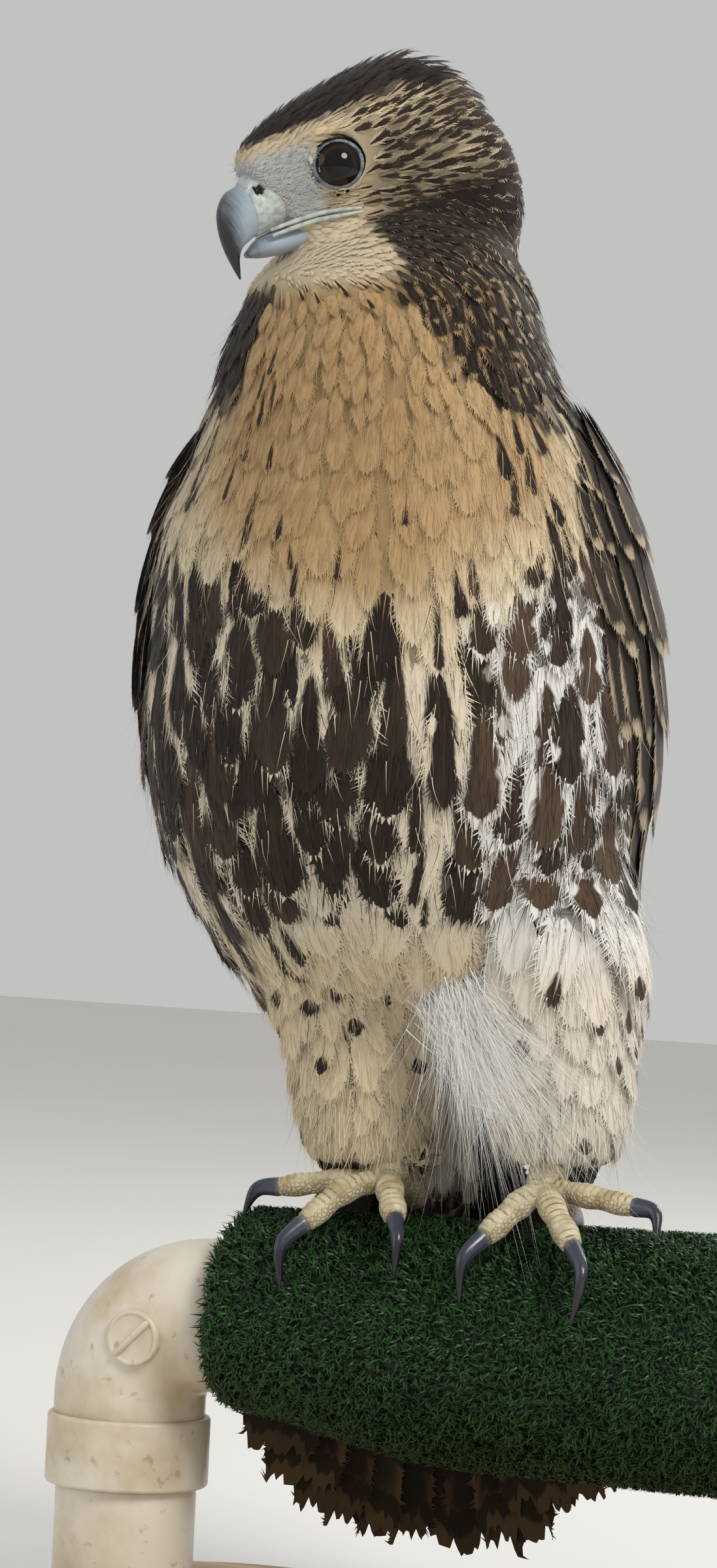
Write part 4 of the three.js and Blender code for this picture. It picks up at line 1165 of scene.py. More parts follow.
# %% Lay the tracts
def lay_tract(name, chosen, vane, length_ratio, width_ratio, material_slot, seed, ragged=0.5, soft=0.5,
              flat=1.0):
    draw = np.random.default_rng(seed)
    place, normal, gap = roots[chosen], root_normals[chosen], root_spacing[chosen] * mm
    count = len(place)
    spin = (draw.random(count) - 0.5)[:, None] * 0.34
    direction = root_directions[chosen]
    direction = unit(direction + np.cross(normal, direction) * spin)
    upright = 1 + (body_stretch - 1) * (1 - on_head_share(place))
    length = gap * upright * length_ratio * (0.9 + 0.2 * draw.random(count))
    hold = 0.22 + 0.5 * ease(place[:, 2] / mm, 250, 300) + 0.3 * (1 - ease(place[:, 2] / mm, 196, 214))
    places, outs = walk_along(place, normal, direction, length, skin_tree, hold)
    half = gap * width_ratio * (0.75 + 0.5 * draw.random(count))
    depth = root_depth[chosen]
    fore, _, above = to_head(place).T
    nape = ease(-fore, 6, 34) * ease(above, 4, 16) * on_head_share(place)
    raised = nape * draw.random(count) * 3.4 * mm
    shape = {
        "half": half,
        "root_lift": -0.4 * mm,
        "tip_lift": depth * flat * (0.8 + 0.3 * draw.random(count)) + raised,
        "curl": depth * (draw.random(count) - 0.8) * 0.3,
        "camber": (0.16 + 0.12 * draw.random(count)) * flat,
        "roll": (draw.random(count) - 0.5) * 0.12 * flat,
        "ragged": ragged,
        "barb_lift": 0.55 * mm * (1 - 0.5 * on_head_share(place)),
    }
    numbers = feather_numbers(places, draw)
    return lay_vanes(name, vane, places, outs, shape, numbers, plumage_finish, material_slot,
                     skin_map(place), seed=seed + 50, soft=soft)


height_of_roots = roots[:, 2] / mm
neck_roots = ~on_head_roots & (height_of_roots > neck_base)
low_roots = ~on_head_roots & (height_of_roots < leg_top)
leg_roots = low_roots & ((roots - tail_root_middle) @ tail_out < -6 * mm)
tail_root_roots = low_roots & ~leg_roots
trunk_roots = ~on_head_roots & ~neck_roots & ~low_roots
breast_roots = trunk_roots & (height_of_roots > breast_floor)
belly_roots = trunk_roots & ~breast_roots
lay_tract("coat_head", on_head_roots, small_vane, 3.6, 0.75, "crown_feather", 1)
lay_tract("coat_neck", neck_roots, hackle_vane, 2.6, 0.9, "neck_feather", 2)
lay_tract("coat_breast", breast_roots, contour_vane, 3.0, 1.15, "breast_feather", 3, soft=0.95, flat=0.42)
lay_tract("coat_belly", belly_roots, contour_vane, 2.7, 1.1, "breast_feather", 4, ragged=0.7, soft=0.65)
lay_tract("coat_legs", leg_roots, contour_vane, 2.9, 1.1, "leg_feather", 5, ragged=0.8, soft=0.8)
lay_tract("coat_rump", tail_root_roots, contour_vane, 2.5, 1.0, "tail_feather", 6)

# %% [markdown]
# ## Folded wings
# A folded wing shows its feathers in tiers, from small coverts at the shoulder down to the long
# secondaries, with the primaries' tips reaching past them. Each tier is a row of vanes that start under
# the tier above. The rows are set out by height and by share across the wing, so they bend with it.

# %% Lay the wings' tiers
flight_vane = Vane(segments=26, tips=4, loose=0.07, lean=0.1, columns=3, widest=0.72)
covert_vane = Vane(segments=12, tips=5, loose=0.16, lean=0.18, columns=2, widest=0.55, barbs=30)
wing_stations = 9
wing_reach_forward = 0.13
edge_dip = 8.5


def wing_row(side, count, root, tip, half, lifts, draw, dip, uneven=11.0):
    """Feathers side by side. Root and tip give height and share at the row's front and rear ends. The
    first feathers of a row that dips reach forward and down to the flank, and close the wing's edge."""
    order = np.linspace(0, 1, count)[:, None]
    reach_forward = wing_reach_forward * (dip > 0)
    at = np.linspace(0, 1, wing_stations)[None, :]
    root_height = root[0][0] + (root[1][0] - root[0][0]) * order
    tip_height = tip[0][0] + (tip[1][0] - tip[0][0]) * order + (draw.random((count, 1)) - 0.5) * uneven
    root_share = root[0][1] - reach_forward + (root[1][1] - root[0][1] + reach_forward) * order
    tip_share = tip[0][1] - reach_forward + (tip[1][1] - tip[0][1] + reach_forward) * order
    tip_share = tip_share + (draw.random((count, 1)) - 0.5) * 0.012
    height = root_height + (tip_height - root_height) * at
    share = root_share + (tip_share - root_share) * at
    places = wing_place(height, share, side)
    outs = wing_out(height.ravel(), share.ravel(), side).reshape(count, wing_stations, 3)
    order = order[:, 0]
    sunk = dip * (1 - ease(order, 0, 0.22))
    return places, outs, {
        "half": (half[0] + (half[1] - half[0]) * order) * mm,
        "root_lift": (lifts[0] - sunk) * mm,
        "tip_lift": (lifts[1] + (lifts[2] - lifts[1]) * order - sunk) * mm,
        "curl": (draw.random(count) - 0.6) * 1.6 * mm,
        "camber": 0.10 + 0.08 * draw.random(count),
        "roll": -0.10 * side + (draw.random(count) - 0.5) * 0.16,
        "ragged": 0.22,
        "barb_lift": 0,
    }


def wing_numbers(count, draw, **given):
    """Markings that are the same all over a row, with each feather's edge and tone a little different."""
    unmarked = dict.fromkeys(("warm", "mark", "brown", "spots", "fringe", "grey", "bars", "long"), 0.0)
    numbers = unmarked | given
    numbers["fringe"] = numbers["fringe"] * (0.4 + 0.4 * draw.random(count))
    numbers["seed"] = draw.random(count)
    numbers["tone"] = given.get("tone", 1.0) + (draw.random(count) - 0.5) * 0.18
    return numbers


wing_tiers = [
    ("primaries", 9, ((246, 0.10), (250, 0.34)), ((148, 0.10), (118, 0.66)), (8, 9), (-1.5, -1.2, 0.4),
     dict(fringe=0.1, tone=0.72, warm=0.3)),
    ("secondaries", 12, ((262, 0.10), (262, 0.90)), ((196, 0.12), (180, 0.93)), (10, 11), (-0.5, 0.6, 1.6),
     dict(fringe=0.3, bars=0.3, warm=0.3)),
    ("greater_coverts", 14, ((304, 0.04), (312, 0.92)), ((228, 0.08), (232, 0.94)), (8, 9), (0, 2.2, 3.2),
     dict(fringe=0.45, warm=0.4, spots=0.25)),
    ("median_coverts", 15, ((334, 0.02), (342, 0.88)), ((272, 0.04), (278, 0.90)), (7.5, 8), (0.2, 3.0, 4.0),
     dict(fringe=0.5, warm=0.45, spots=0.3)),
    ("lesser_coverts", 16, ((356, 0.01), (364, 0.86)), ((304, 0.03), (312, 0.87)), (6.5, 7), (0.4, 3.4, 4.4),
     dict(fringe=0.5, warm=0.45)),
    ("small_coverts", 16, ((376, 0.01), (386, 0.82)), ((334, 0.02), (342, 0.83)), (5.8, 6.2), (0.6, 3.7, 4.7),
     dict(fringe=0.5, warm=0.45)),
    ("shoulder_coverts", 15, ((400, 0.02), (412, 0.78)), ((362, 0.02), (370, 0.79)), (5.2, 5.8),
     (0.6, 3.9, 4.9), dict(fringe=0.5, warm=0.5)),
    ("wrist_coverts", 12, ((412, 0.04), (420, 0.74)), ((384, 0.03), (392, 0.76)), (5, 5.2), (0.4, 3.9, 5.0),
     dict(fringe=0.5, warm=0.5)),
    ("long_scapulars", 7, ((372, 0.74), (296, 0.92)), ((312, 0.78), (236, 0.95)), (12, 13), (2.4, 5.4, 5.4),
     dict(fringe=0.5, spots=0.35, warm=0.5)),
    ("scapulars", 8, ((408, 0.66), (330, 0.88)), ((352, 0.72), (274, 0.92)), (11, 12), (3, 6.6, 6.6),
     dict(fringe=0.55, spots=0.35, warm=0.5)),
]


def wing_map(places, side):
    """The wing's own unwrap: round the body and up it."""
    across = round_body(places) / 360 * side + 0.5
    return np.stack([0.05 + 0.9 * across, (places[:, 2] / mm - 90) / 340], -1)


for word, side in bird_sides.items():
    draw = np.random.default_rng(60 + side)
    for tier, count, root, tip, half, lifts, look in wing_tiers:
        dip = edge_dip if "covert" in tier or tier == "secondaries" else 0
        count = count + 3 * (dip > 0)
        places, outs, shape = wing_row(side, count, root, tip, half, lifts, draw, dip)
        vane = flight_vane if tier in ("primaries", "secondaries") else covert_vane
        stands_for = [f"wing_{word}"] if tier == "primaries" else ()
        numbers = wing_numbers(count, draw, brown=1, **look)
        front = (1 - ease(np.linspace(0, 1, count), 0.1, 0.4)) * (dip > 0)
        numbers["fringe"] = numbers["fringe"] + 0.35 * front
        lay_vanes(f"wing_{word}_{tier}", vane, places, outs, shape, numbers, plumage_finish,
                  "wing_feather", wing_map(places[:, 0], side), stands_for, seed=count, soft=0.3)

# %% [markdown]
# ## Tail
# Twelve feathers spread in a fan behind the perch, the middle pair on top. A young bird's tail is brown
# with narrow dark bands. This one's ends are torn square and frayed, so they have many columns of
# points, and a wave across each end shortens some of them.

# %% Lay the tail
tail_feathers = 12
tail_spread = math.radians(17)
tail_half = 15 * mm
tail_stations = 8

draw = np.random.default_rng(77)
from_middle = np.arange(tail_feathers) - (tail_feathers - 1) / 2
tail_share = from_middle / from_middle[-1]
tail_turn = (tail_spread * tail_share)[:, None]
tail_reach = tail_length * (1 - 0.07 * tail_share ** 2) - draw.random(tail_feathers) ** 2 * 16 * mm
feather_line = tail_down * np.cos(tail_turn) + body_left * np.sin(tail_turn)
tail_layer = (-1.3 * np.abs(from_middle) + 3.2) * mm
start_reach = 40 * mm
reach = start_reach + (tail_reach - start_reach)[:, None] * np.linspace(0, 1, tail_stations)
tail_places = tail_root_middle + body_left * from_middle[:, None, None] * 1.6 * mm
tail_places = tail_places + feather_line[:, None] * reach[..., None] + tail_out * tail_layer[:, None, None]
tail_outs = np.broadcast_to(tail_out, tail_places.shape)
tail_shape = {
    "half": tail_half, "root_lift": 0, "tip_lift": 0, "barb_lift": 0, "camber": 0.03, "ragged": 0.3,
    "curl": (draw.random(tail_feathers) - 0.5) * mm,
    "roll": -0.03 * np.sign(tail_share),
}
tail_vane = Vane(segments=40, tips=4, loose=0.04, lean=0.02, columns=12, widest=0.94, blunt=0.5)
tail_numbers = wing_numbers(tail_feathers, draw, brown=1, fringe=0.5, warm=0.9, bars=0.8, tone=0.6)
tail_flat = np.stack([0.5 + tail_share * 0.45, np.full(tail_feathers, 0.8)], -1)
lay_vanes("tail_feathers", tail_vane, tail_places, tail_outs, tail_shape, tail_numbers, plumage_finish,
          "tail_feather", tail_flat, ["tail"], seed=9, worn=0.05)

# %% [markdown]
# ## Bill and cere
# The bill is horn, blue-grey at its base and black at the hook, and the cere is the soft pale skin at
# its root, with a comma-shaped nostril on each side. Both follow the same row of sections, which swing
# round from the forehead to the tip; the cere is the same form a little fuller, with a rolled front rim.

# %% Shape the bill
bill_sections = [  # top ahead, top height, lower edge ahead, lower edge height, half width
    (15, 6, 12, -13.2, 9.6),
    (23, 7.2, 22, -13.3, 8.8),
    (28.8, 3.9, 28.4, -13.7, 7.7),
    (34, 2.4, 32, -14.9, 6.9),
    (38, -2, 33.8, -15.8, 5.9),
    (39.8, -8.3, 35.2, -17.2, 4.6),
    (40, -15, 36.3, -19.5, 3.1),
    (39.2, -21, 37.1, -22.6, 1.6),
    (38.3, -25.4, 37.8, -25.3, 0.35),
]
bill_curve = smooth_curve(range(len(bill_sections)), bill_sections)
bill_sides = 56


def bill_rings(places, fuller=0.0):
    rings = []
    for top_x, top_z, low_x, low_z, half in bill_curve(places):
        angle = circle(bill_sides)
        down = (1 - np.cos(angle)) / 2
        squared = np.sign(np.sin(angle)) * np.abs(np.sin(angle)) ** 0.75
        width = (half + fuller) * squared * (0.72 + 0.28 * np.sin(np.pi * down))
        lean = unit(np.array([top_x - low_x, 0, top_z - low_z]))
        spread = fuller * np.cos(angle)
        rings.append(np.stack([
            top_x + (low_x - top_x) * down + lean[0] * spread,
            width,
            top_z + (low_z - top_z) * down + lean[2] * spread,
        ], -1))
    return np.array(rings)


def nostril_dent(places):
    """How deep the nostril is at each place, 0 outside it: a comma that curls down at its rear."""
    fore, side, above = places[..., 0], np.abs(places[..., 1]), places[..., 2]
    spot = ((fore - 25.0) / 2.3) ** 2 + ((above - 0.2 - 0.12 * (fore - 25) ** 2) / 1.5) ** 2
    return ease(-spot, -1.25, -0.5) * ease(side, 3, 5)


horn_start, horn_end, horn_rows = 1.6, 8, 90
horn_places = np.linspace(horn_start, horn_end, horn_rows)
upper_points, upper_faces = closed_rings(bill_rings(horn_places))
horn_share = (horn_places - horn_start) / (horn_end - horn_start)
bill_along = np.append(np.repeat(horn_share, bill_sides), [0, 1])
bill_under = np.append(np.tile((1 - np.cos(circle(bill_sides))) / 2, horn_rows), [0.5, 0.5])

cere_end = 2.05
cere_places = np.linspace(0, cere_end, 60)
rim = ease(cere_places, cere_end - 0.16, cere_end)
cere_fuller = 0.45 * np.sqrt(np.clip(1 - rim ** 2, 0, 1)) - 0.35 * rim
cere_rings = np.array([
    bill_rings(np.array([at]), fuller)[0] for at, fuller in zip(cere_places, cere_fuller)])
dent = nostril_dent(cere_rings)
cere_rings[..., 1] -= np.sign(cere_rings[..., 1]) * dent * 2.4
cere_points, cere_faces = closed_rings(cere_rings)

lower_sections = [(-14.4, -22.5, 8.6), (-14.4, -22, 6.6), (-15, -21, 5), (-17.6, -19.6, 2.2)]
lower_rows = smooth_curve([10, 22, 29, 33.4], lower_sections)
lower_steps, lower_sides = 50, 40
angle = circle(lower_sides)
lower_rings = []
for fore in np.linspace(10, 33.4, lower_steps):
    top, bottom, half = lower_rows(fore)
    middle, high = (top + bottom) / 2, (top - bottom) / 2
    ring = [np.full(lower_sides, fore), half * np.sin(angle), middle + high * np.cos(angle)]
    lower_rings.append(np.stack(ring, -1))
lower_points, lower_faces = closed_rings(np.array(lower_rings))


print("rings on the upper bill:", horn_rows, "points on the lower bill:", len(lower_points))

# %% [markdown]
# ## Horn and waxy skin
# Horn is smooth and darkens towards the hook, with faint growth lines along it. The cere and the lids are
# soft, slightly waxy skin, so they let a little light in and carry a fine cloud of tone.

# %% Finish the bill and the cere
def horn(name):
    finish = Finish(name, {"Roughness": 0.32, "Specular IOR Level": 0.5})
    reach, under = finish.read("reach"), finish.read("under")
    growth = finish.noise(finish.vector(reach * 30, under * 2, 0.0), 1.0, 3.0) - 0.5
    dark = (reach * 1.15 + (1.0 - under) * 0.42 + growth * 0.3).ease(0.30, 0.92)
    base = finish.blend(dark, colour(150, 164, 176), colour(30, 31, 36))
    finish.feed(Base_Color=base)
    return finish.bump(growth, 0.0002, 0.5)


def soft_skin(name, light, shade):
    """Bare, slightly waxy skin, as on the cere and the lids."""
    finish = Finish(name, {"Roughness": 0.42, "Specular IOR Level": 0.5, "Subsurface Weight": 0.08})
    cloud = finish.noise(finish.place(), 420.0, 3.0)
    dent = finish.read("dent")
    base = finish.blend(cloud.ease(0.35, 0.7), light, shade)
    # Where the cere dents in at the nostril it is painted near-black, as painted shade inside the opening.
    finish.feed(Base_Color=finish.blend(dent.ease(0.15, 0.6), base, colour(22, 20, 20)))
    return finish.bump(finish.noise(finish.place(), 1500.0, 2.0), 0.0001, 0.6)


horn_finish = horn("bill_horn")
cere_finish = soft_skin("cere_skin", colour(186, 192, 186), colour(150, 158, 156))
new_piece("bill_upper", from_head(upper_points), upper_faces, horn_finish, "bill_horn", ["beak_upper"],
          {"reach": bill_along, "under": bill_under})
lower_reach = 0.55
reach = np.repeat(np.linspace(0.0, lower_reach, lower_steps), lower_sides)
reach = np.append(reach, [0, lower_reach])
new_piece("bill_lower", from_head(lower_points), lower_faces, horn_finish, "bill_horn", ["beak_lower"],
          {"reach": reach, "under": 1.0})
new_piece("cere", from_head(cere_points), cere_faces, cere_finish, "cere", ["cere"],
          {"dent": np.append(dent.ravel(), [0, 0])})

# %% [markdown]
# ## Eyes and lids
# A hawk's eye is large, dark and glossy, and looks out from under a bony brow. The ball is turned out
# and a little forward. Its finish needs only the distance from the eye's axis: black pupil, dark brown
# iris, darker rim. The lids are a ring of bare blue-grey skin with a fine beaded edge.

# %% Shape the eyes and lids
def about_axis(axis, profile, sides):
    """A form turned about an axis in the head's frame, from (along, radius) rows."""
    across = unit(np.cross(np.array([0, 0, 1.0]), axis))
    over = np.cross(axis, across)
    angle = circle(sides)[:, None]
    ring = across * np.cos(angle) + over * np.sin(angle)
    return np.array([axis * along + ring * radius for along, radius in profile])


def eye_finish():
    constants = {"Roughness": 0.05, "Specular IOR Level": 0.3}
    finish = Finish("eye", constants)
    off = finish.read("off_axis")
    fibre = finish.noise(finish.vector(finish.read("turn") * 9, off * 0.3, 0.0), 3.0, 3.0)
    iris = finish.blend(fibre.ease(0.3, 0.7), colour(20, 12, 8), colour(38, 24, 15))
    base = finish.blend(off.ease(4.4, 5.0), colour(6, 5, 6), iris)
    finish.feed(Base_Color=finish.blend(off.ease(6.2, 6.9), base, colour(14, 11, 10)))
    return finish


ball_finish = eye_finish()
lid_finish = soft_skin("lid_skin", colour(112, 120, 128), colour(58, 63, 70))
lid_radius = 7.75
ball_steps, ball_sides = 48, 64
lid_steps, lid_sides = 120, 14
for word, side in bird_sides.items():
    socket, axis = eye_frame(side)
    polar = np.linspace(0.02, np.pi - 0.02, ball_steps)
    radius = eye_radius / mm - 0.1
    profile = [
        (radius * math.cos(t) * (1 + 0.02 * math.exp(-(t / 0.5) ** 2)), radius * math.sin(t))
        for t in polar[::-1]]
    ball_points, ball_faces = closed_rings(about_axis(axis, profile, ball_sides) + socket)
    ahead_of_middle, off_axis = (np.repeat(column, ball_sides) for column in zip(*profile))
    in_front = np.append(ahead_of_middle, [-1, 1]) > 0
    off_axis = np.where(in_front, np.append(off_axis, [0, 0]), 9)
    turn = np.append(np.tile(circle(ball_sides), ball_steps), [0, 0])
    new_piece(f"eyeball_{word}", from_head(ball_points), ball_faces, ball_finish, "eye", [f"eye_{word}"],
              {"off_axis": off_axis, "turn": np.abs(turn - np.pi)})
    across = unit(np.cross(np.array([0, 0, 1.0]), axis))
    over = np.cross(axis, across)
    ring = []
    for turned in circle(lid_steps):
        out = across * math.cos(turned) + over * math.sin(turned) * 0.94
        bead = 1 + 0.07 * math.sin(turned * 34)
        section = circle(lid_sides)[:, None]
        tube_radius = 0.85 * bead
        centre = socket + out * lid_radius + axis * 4.9
        ring.append(centre + out * np.cos(section) * tube_radius + axis * np.sin(section) * tube_radius)
    ring = np.array(ring)
    quads = ring_faces(lid_steps + 1, lid_sides)[0] % (lid_steps * lid_sides)
    new_piece(f"lids_{word}", from_head(ring.reshape(-1, 3)), [quads], lid_finish, "cere", (), {"dent": 0})

# %% [markdown]
# ## Line of the mouth
# The edges of the bill run back under the eye as two soft, pale lips that meet at the gape. Each is a
# tube on a smooth line through five places, thin at both ends. They could be cut into the skin, but its
# remesh is too coarse for a line this fine.

# %% Shape the lips
lip_steps = 40
lip_line = [(25.5, 7.0, -13.2), (18, 9.0, -12.9), (10, 12.2, -13.0), (3, 14.9, -14.0), (-3.5, 16.6, -15.6)]
for word, side in bird_sides.items():
    for edge, drop in (("upper", 0.0), ("lower", 1.9)):
        line = [(x, (y + 0.5) * side, z - drop * (1 if x > 0 else 0.6)) for x, y, z in lip_line]
        width = 0.78 * np.sin(np.linspace(0.5, 2.95, lip_steps)) ** 0.5
        lip_points, lip_faces = tube(path_through(line, lip_steps), width, 16)
        new_piece(f"lip_{word}_{edge}", from_head(lip_points), lip_faces, cere_finish, "cere", (),
                  {"dent": 0})

# %% [markdown]
# ## Bristles, down and wisps
# Fine hair-like feathers soften the bird: grey bristles cover the lore between bill and eye, a long
# white plume hangs between the legs, and wisps stand off the flanks and thighs. Each strand is a ribbon
# that tapers to a point, so some thousands cost no more than a few feathers.

# %% Lay strands
strand_rows = 6


def lay_strands(name, roots, along, out, lengths, half, bend, numbers, material_slot, seed, sway=0.14):
    """Ribbons from their roots along a direction, bending outwards by a share of their length."""
    draw = np.random.default_rng(seed)
    count = len(roots)
    t = np.linspace(0, 1, strand_rows)[None, :, None]
    sway = draw.normal(0, sway, (count, 1, 3)) * t ** 2
    length = np.reshape(lengths, (-1, 1, 1))
    bent = out[:, None] * np.reshape(bend, (-1, 1, 1)) * t ** 2
    middle = roots[:, None] + (along[:, None] * t + bent + sway) * length
    across = unit(np.cross(along, out))[:, None] * np.reshape(half, (-1, 1, 1)) * (1 - t * 0.97)
    points = np.stack([middle - across, middle + across], 2).reshape(-1, 3)
    step = (np.arange(count) * strand_rows * 2)[:, None, None]
    row = np.arange(strand_rows - 1)[None, :, None] * 2
    faces = (step + row + np.array([0, 1, 3, 2])).reshape(-1, 4)
    values = {key: np.repeat(np.zeros(count) + value, strand_rows * 2) for key, value in numbers.items()}
    piece = new_piece(name, points, [faces], plumage_finish, material_slot, (), values)
    patch = np.stack([np.tile([-0.0005, 0.0005], strand_rows), np.repeat(t[0, :, 0] * 0.002, 2)], -1)
    give_map(piece, np.repeat(skin_map(roots), strand_rows * 2, 0) + np.tile(patch, (count, 1)))


def strand_numbers(count, draw, **given):
    return wing_numbers(count, draw, **given) | {"along": 0.5, "across": 0.3}


draw = np.random.default_rng(31)
near_skin = np.linalg.norm(to_head(skin_points), axis=1) < 40
lore_share = markings(skin_points)["grey"] * near_skin * feathered(skin_points)
spots, outs = scatter(skin_points, skin_faces, np.full(len(skin_points), 0.62), lore_share, 41)
count = len(spots)
sweep = unit(-head_forward * 0.75 + head_up * 0.15 + outs * 0.5 + draw.normal(0, 0.28, (count, 3)))
lengths = (2.2 + 3.0 * draw.random(count)) * mm
lay_strands("lore_bristles", spots + outs * 0.6 * mm, sweep, outs, lengths, np.full(count, 0.11 * mm),
            np.full(count, -0.2), strand_numbers(count, draw, grey=0.9, tone=1.12), "crown_feather", 42)

plume = path_through([(-13, -21, 248), (8, -31, 204), (29, -29, 170)], 20)
count = 2300
start = np.abs(draw.normal(0, 0.22, count)).clip(0, 0.7)
spots = np.stack([np.interp(start, np.linspace(0, 1, 20), plume[:, axis]) for axis in range(3)], 1)
spots = spots + draw.normal(0, 4.4, (count, 3)) * np.array([1.1, 0.6, 1.6])
aim = plume[-1] + draw.normal(0, 1, (count, 3)).clip(-1.6, 1.6) * np.array([11, 4, 8])
sweep = unit(aim - spots)
lengths = np.linalg.norm(aim - spots, axis=1) * (0.3 + 0.7 * draw.random(count)) * mm
front = np.tile([0.3, -0.95, 0.1], (count, 1))
lay_strands("leg_plume", spots * mm, sweep, front, lengths, (0.07 + 0.09 * draw.random(count)) * mm,
            draw.normal(0.02, 0.07, count).clip(-0.08, 0.12),
            strand_numbers(count, draw, warm=0.02, tone=1.05), "leg_feather", 43, sway=0.22)

body_only = (1 - on_head_share(skin_points)) * (skin_points[:, 2] < 440 * mm)
wisp_spacing = 3.6 - 2.2 * (1 - ease(skin_points[:, 2] / mm, 182, 200))
spots, outs = scatter(skin_points, skin_faces, wisp_spacing, body_only, 44)
turned = round_body(spots)
heights = spots[:, 2] / mm
kept = (np.abs(turned) < 100) & (np.abs(outs[:, 2]) < 0.8) & ((heights > 225) | (spots[:, 1] < 30 * mm))
spots, outs, turned, heights = spots[kept], outs[kept], turned[kept], heights[kept]
count = len(spots)
sweep = unit(lie_of_coat(spots, outs) + outs * 0.10 + draw.normal(0, 0.16, (count, 3)))
flank_share = ease(turned, 40, 70) * ease(heights, 232, 262) * (1 - ease(heights, 350, 385))
lengths = (9 + 7 * draw.random(count) + 12 * flank_share * draw.random(count)) * mm
marks = markings(spots)
wisp_numbers = {key: marks[key] for key in ("warm", "grey", "bars", "long")}
in_mark = draw.random(count) < marks["mark"] * marks["share"]
wisp_numbers |= {"brown": np.maximum(marks["brown"], in_mark), "mark": 0, "spots": 0, "fringe": 0,
                 "along": 0.5, "across": 0.3,
                 "seed": draw.random(count), "tone": 0.95 + 0.15 * draw.random(count)}
lay_strands("wisps", spots + outs * (coat_depth(spots) * 0.75)[:, None], sweep, outs, lengths,
            np.full(count, 0.13 * mm), 0.05 + 0.12 * draw.random(count), wisp_numbers, "breast_feather", 45)

# %% [markdown]
# ## Feet
# The toes are thick and yellowish, with a row of broad scutes along the top, knuckles that swell over
# pads, and small round scales on the sides. The rods of all the toes and the shank are fused into one
# form first. The scutes are then raised on it by moving each point out or in with the distance along
# the nearest toe, so they are real shape and not only paint.

# %% Measure the feet
feet = {
    "left": {
        "ankle": (29, -2, 172), "join": (28, -8, 157),
        "inner": [(26, -20, 153.5), (18, -33, 142), (14, -43, 120.5), 5],
        "middle": [(36, -22, 153), (49, -34.5, 141.5), (53.5, -44, 117), 4.9],
        "outer": [(46, -13, 156), (63, -16, 154), (74, -24, 143), 4.5],
        "hind": [(27, 8, 155), (25, 24, 148), (23, 41, 131), 5.2],
    },
    "right": {
        "ankle": (-30, -3, 168), "join": (-28, -8, 156),
        "inner": [(-22, -20, 153), (-15.5, -30, 145), (-10.5, -40, 127), 5],
        "middle": [(-37, -21, 152.5), (-46.5, -33, 141.5), (-50, -43, 120), 4.9],
        "outer": [(-46, -13, 154), (-64, -16, 151), (-74, -23, 141), 4.5],
        "hind": [(-29, 8, 154), (-31, 24, 147), (-33, 41, 130), 5.2],
    },
}
toe_names = ("inner", "middle", "outer", "hind")
toe_swell = smooth_curve(np.linspace(0, 1, 7), [1.0, 0.88, 0.86, 1.0, 0.84, 0.94, 0.74])


def toe_path(foot, toe, steps):
    first, second, _, _ = foot[toe]
    return path_through([foot["join"], first, second], steps)


def foot_form(foot):
    """Shank, palm and toes as one surface."""
    blocks = [tube(path_through([foot["ankle"], foot["join"]], 12) * mm, np.full(12, 6.6 * mm), 20,
                   over=(0, 1, 0))]
    for toe in toe_names:
        path = toe_path(foot, toe, 26)
        radii = foot[toe][3] * toe_swell(np.linspace(0, 1, 26))
        blocks.append(tube(path * mm, radii * mm, 20, depth=0.95))
    points, faces = fused(blocks, 0.62 * mm)
    return relaxed(points, faces, 3), faces


def scuted(foot, points, faces):
    """Raises scutes along the tops of the toes and the front of the shank. Gives the points, how
    creased each one is, which the finish paints as shade, and how far it is on top."""
    normals = point_normals(points, faces)
    best = np.full(len(points), 1e9)
    distance = np.zeros(len(points))
    top = np.zeros(len(points))
    paths = [toe_path(foot, toe, 60) * mm for toe in toe_names]
    paths.append(path_through([foot["join"], foot["ankle"]], 30) * mm)
    for number, path in enumerate(paths):
        gaps = np.linalg.norm(points[:, None] - path[None], axis=2)
        near = gaps.argmin(1)
        along = np.concatenate([[0], np.cumsum(np.linalg.norm(np.diff(path, axis=0), axis=1))])
        closer = gaps.min(1) < best
        best = np.where(closer, gaps.min(1), best)
        distance = np.where(closer, along[near] / mm + number * 0.7, distance)
        facing = normals[:, 2] if number < len(toe_names) else -normals[:, 1]
        top = np.where(closer, facing, top)
    pitch = 2.5
    step = (distance / pitch) % 1.0
    plate = np.minimum(1, (1 - step) * 1.2) * ease(step, 0.0, 0.14)
    on_top = ease(top, 0.1, 0.55)
    raised = (plate - 0.55) * 0.42 * on_top
    # How far each point lies in a crease between scutes, where the finish paints it darker as painted shade.
    crease_shade = (1 - ease(step, 0.0, 0.2) * ease(1 - step, 0.0, 0.1)) * on_top
    return points + normals * (raised * mm)[:, None], np.clip(crease_shade, 0, 1), on_top


print("toes to build:", sum(name in foot for foot in feet.values() for name in toe_names))
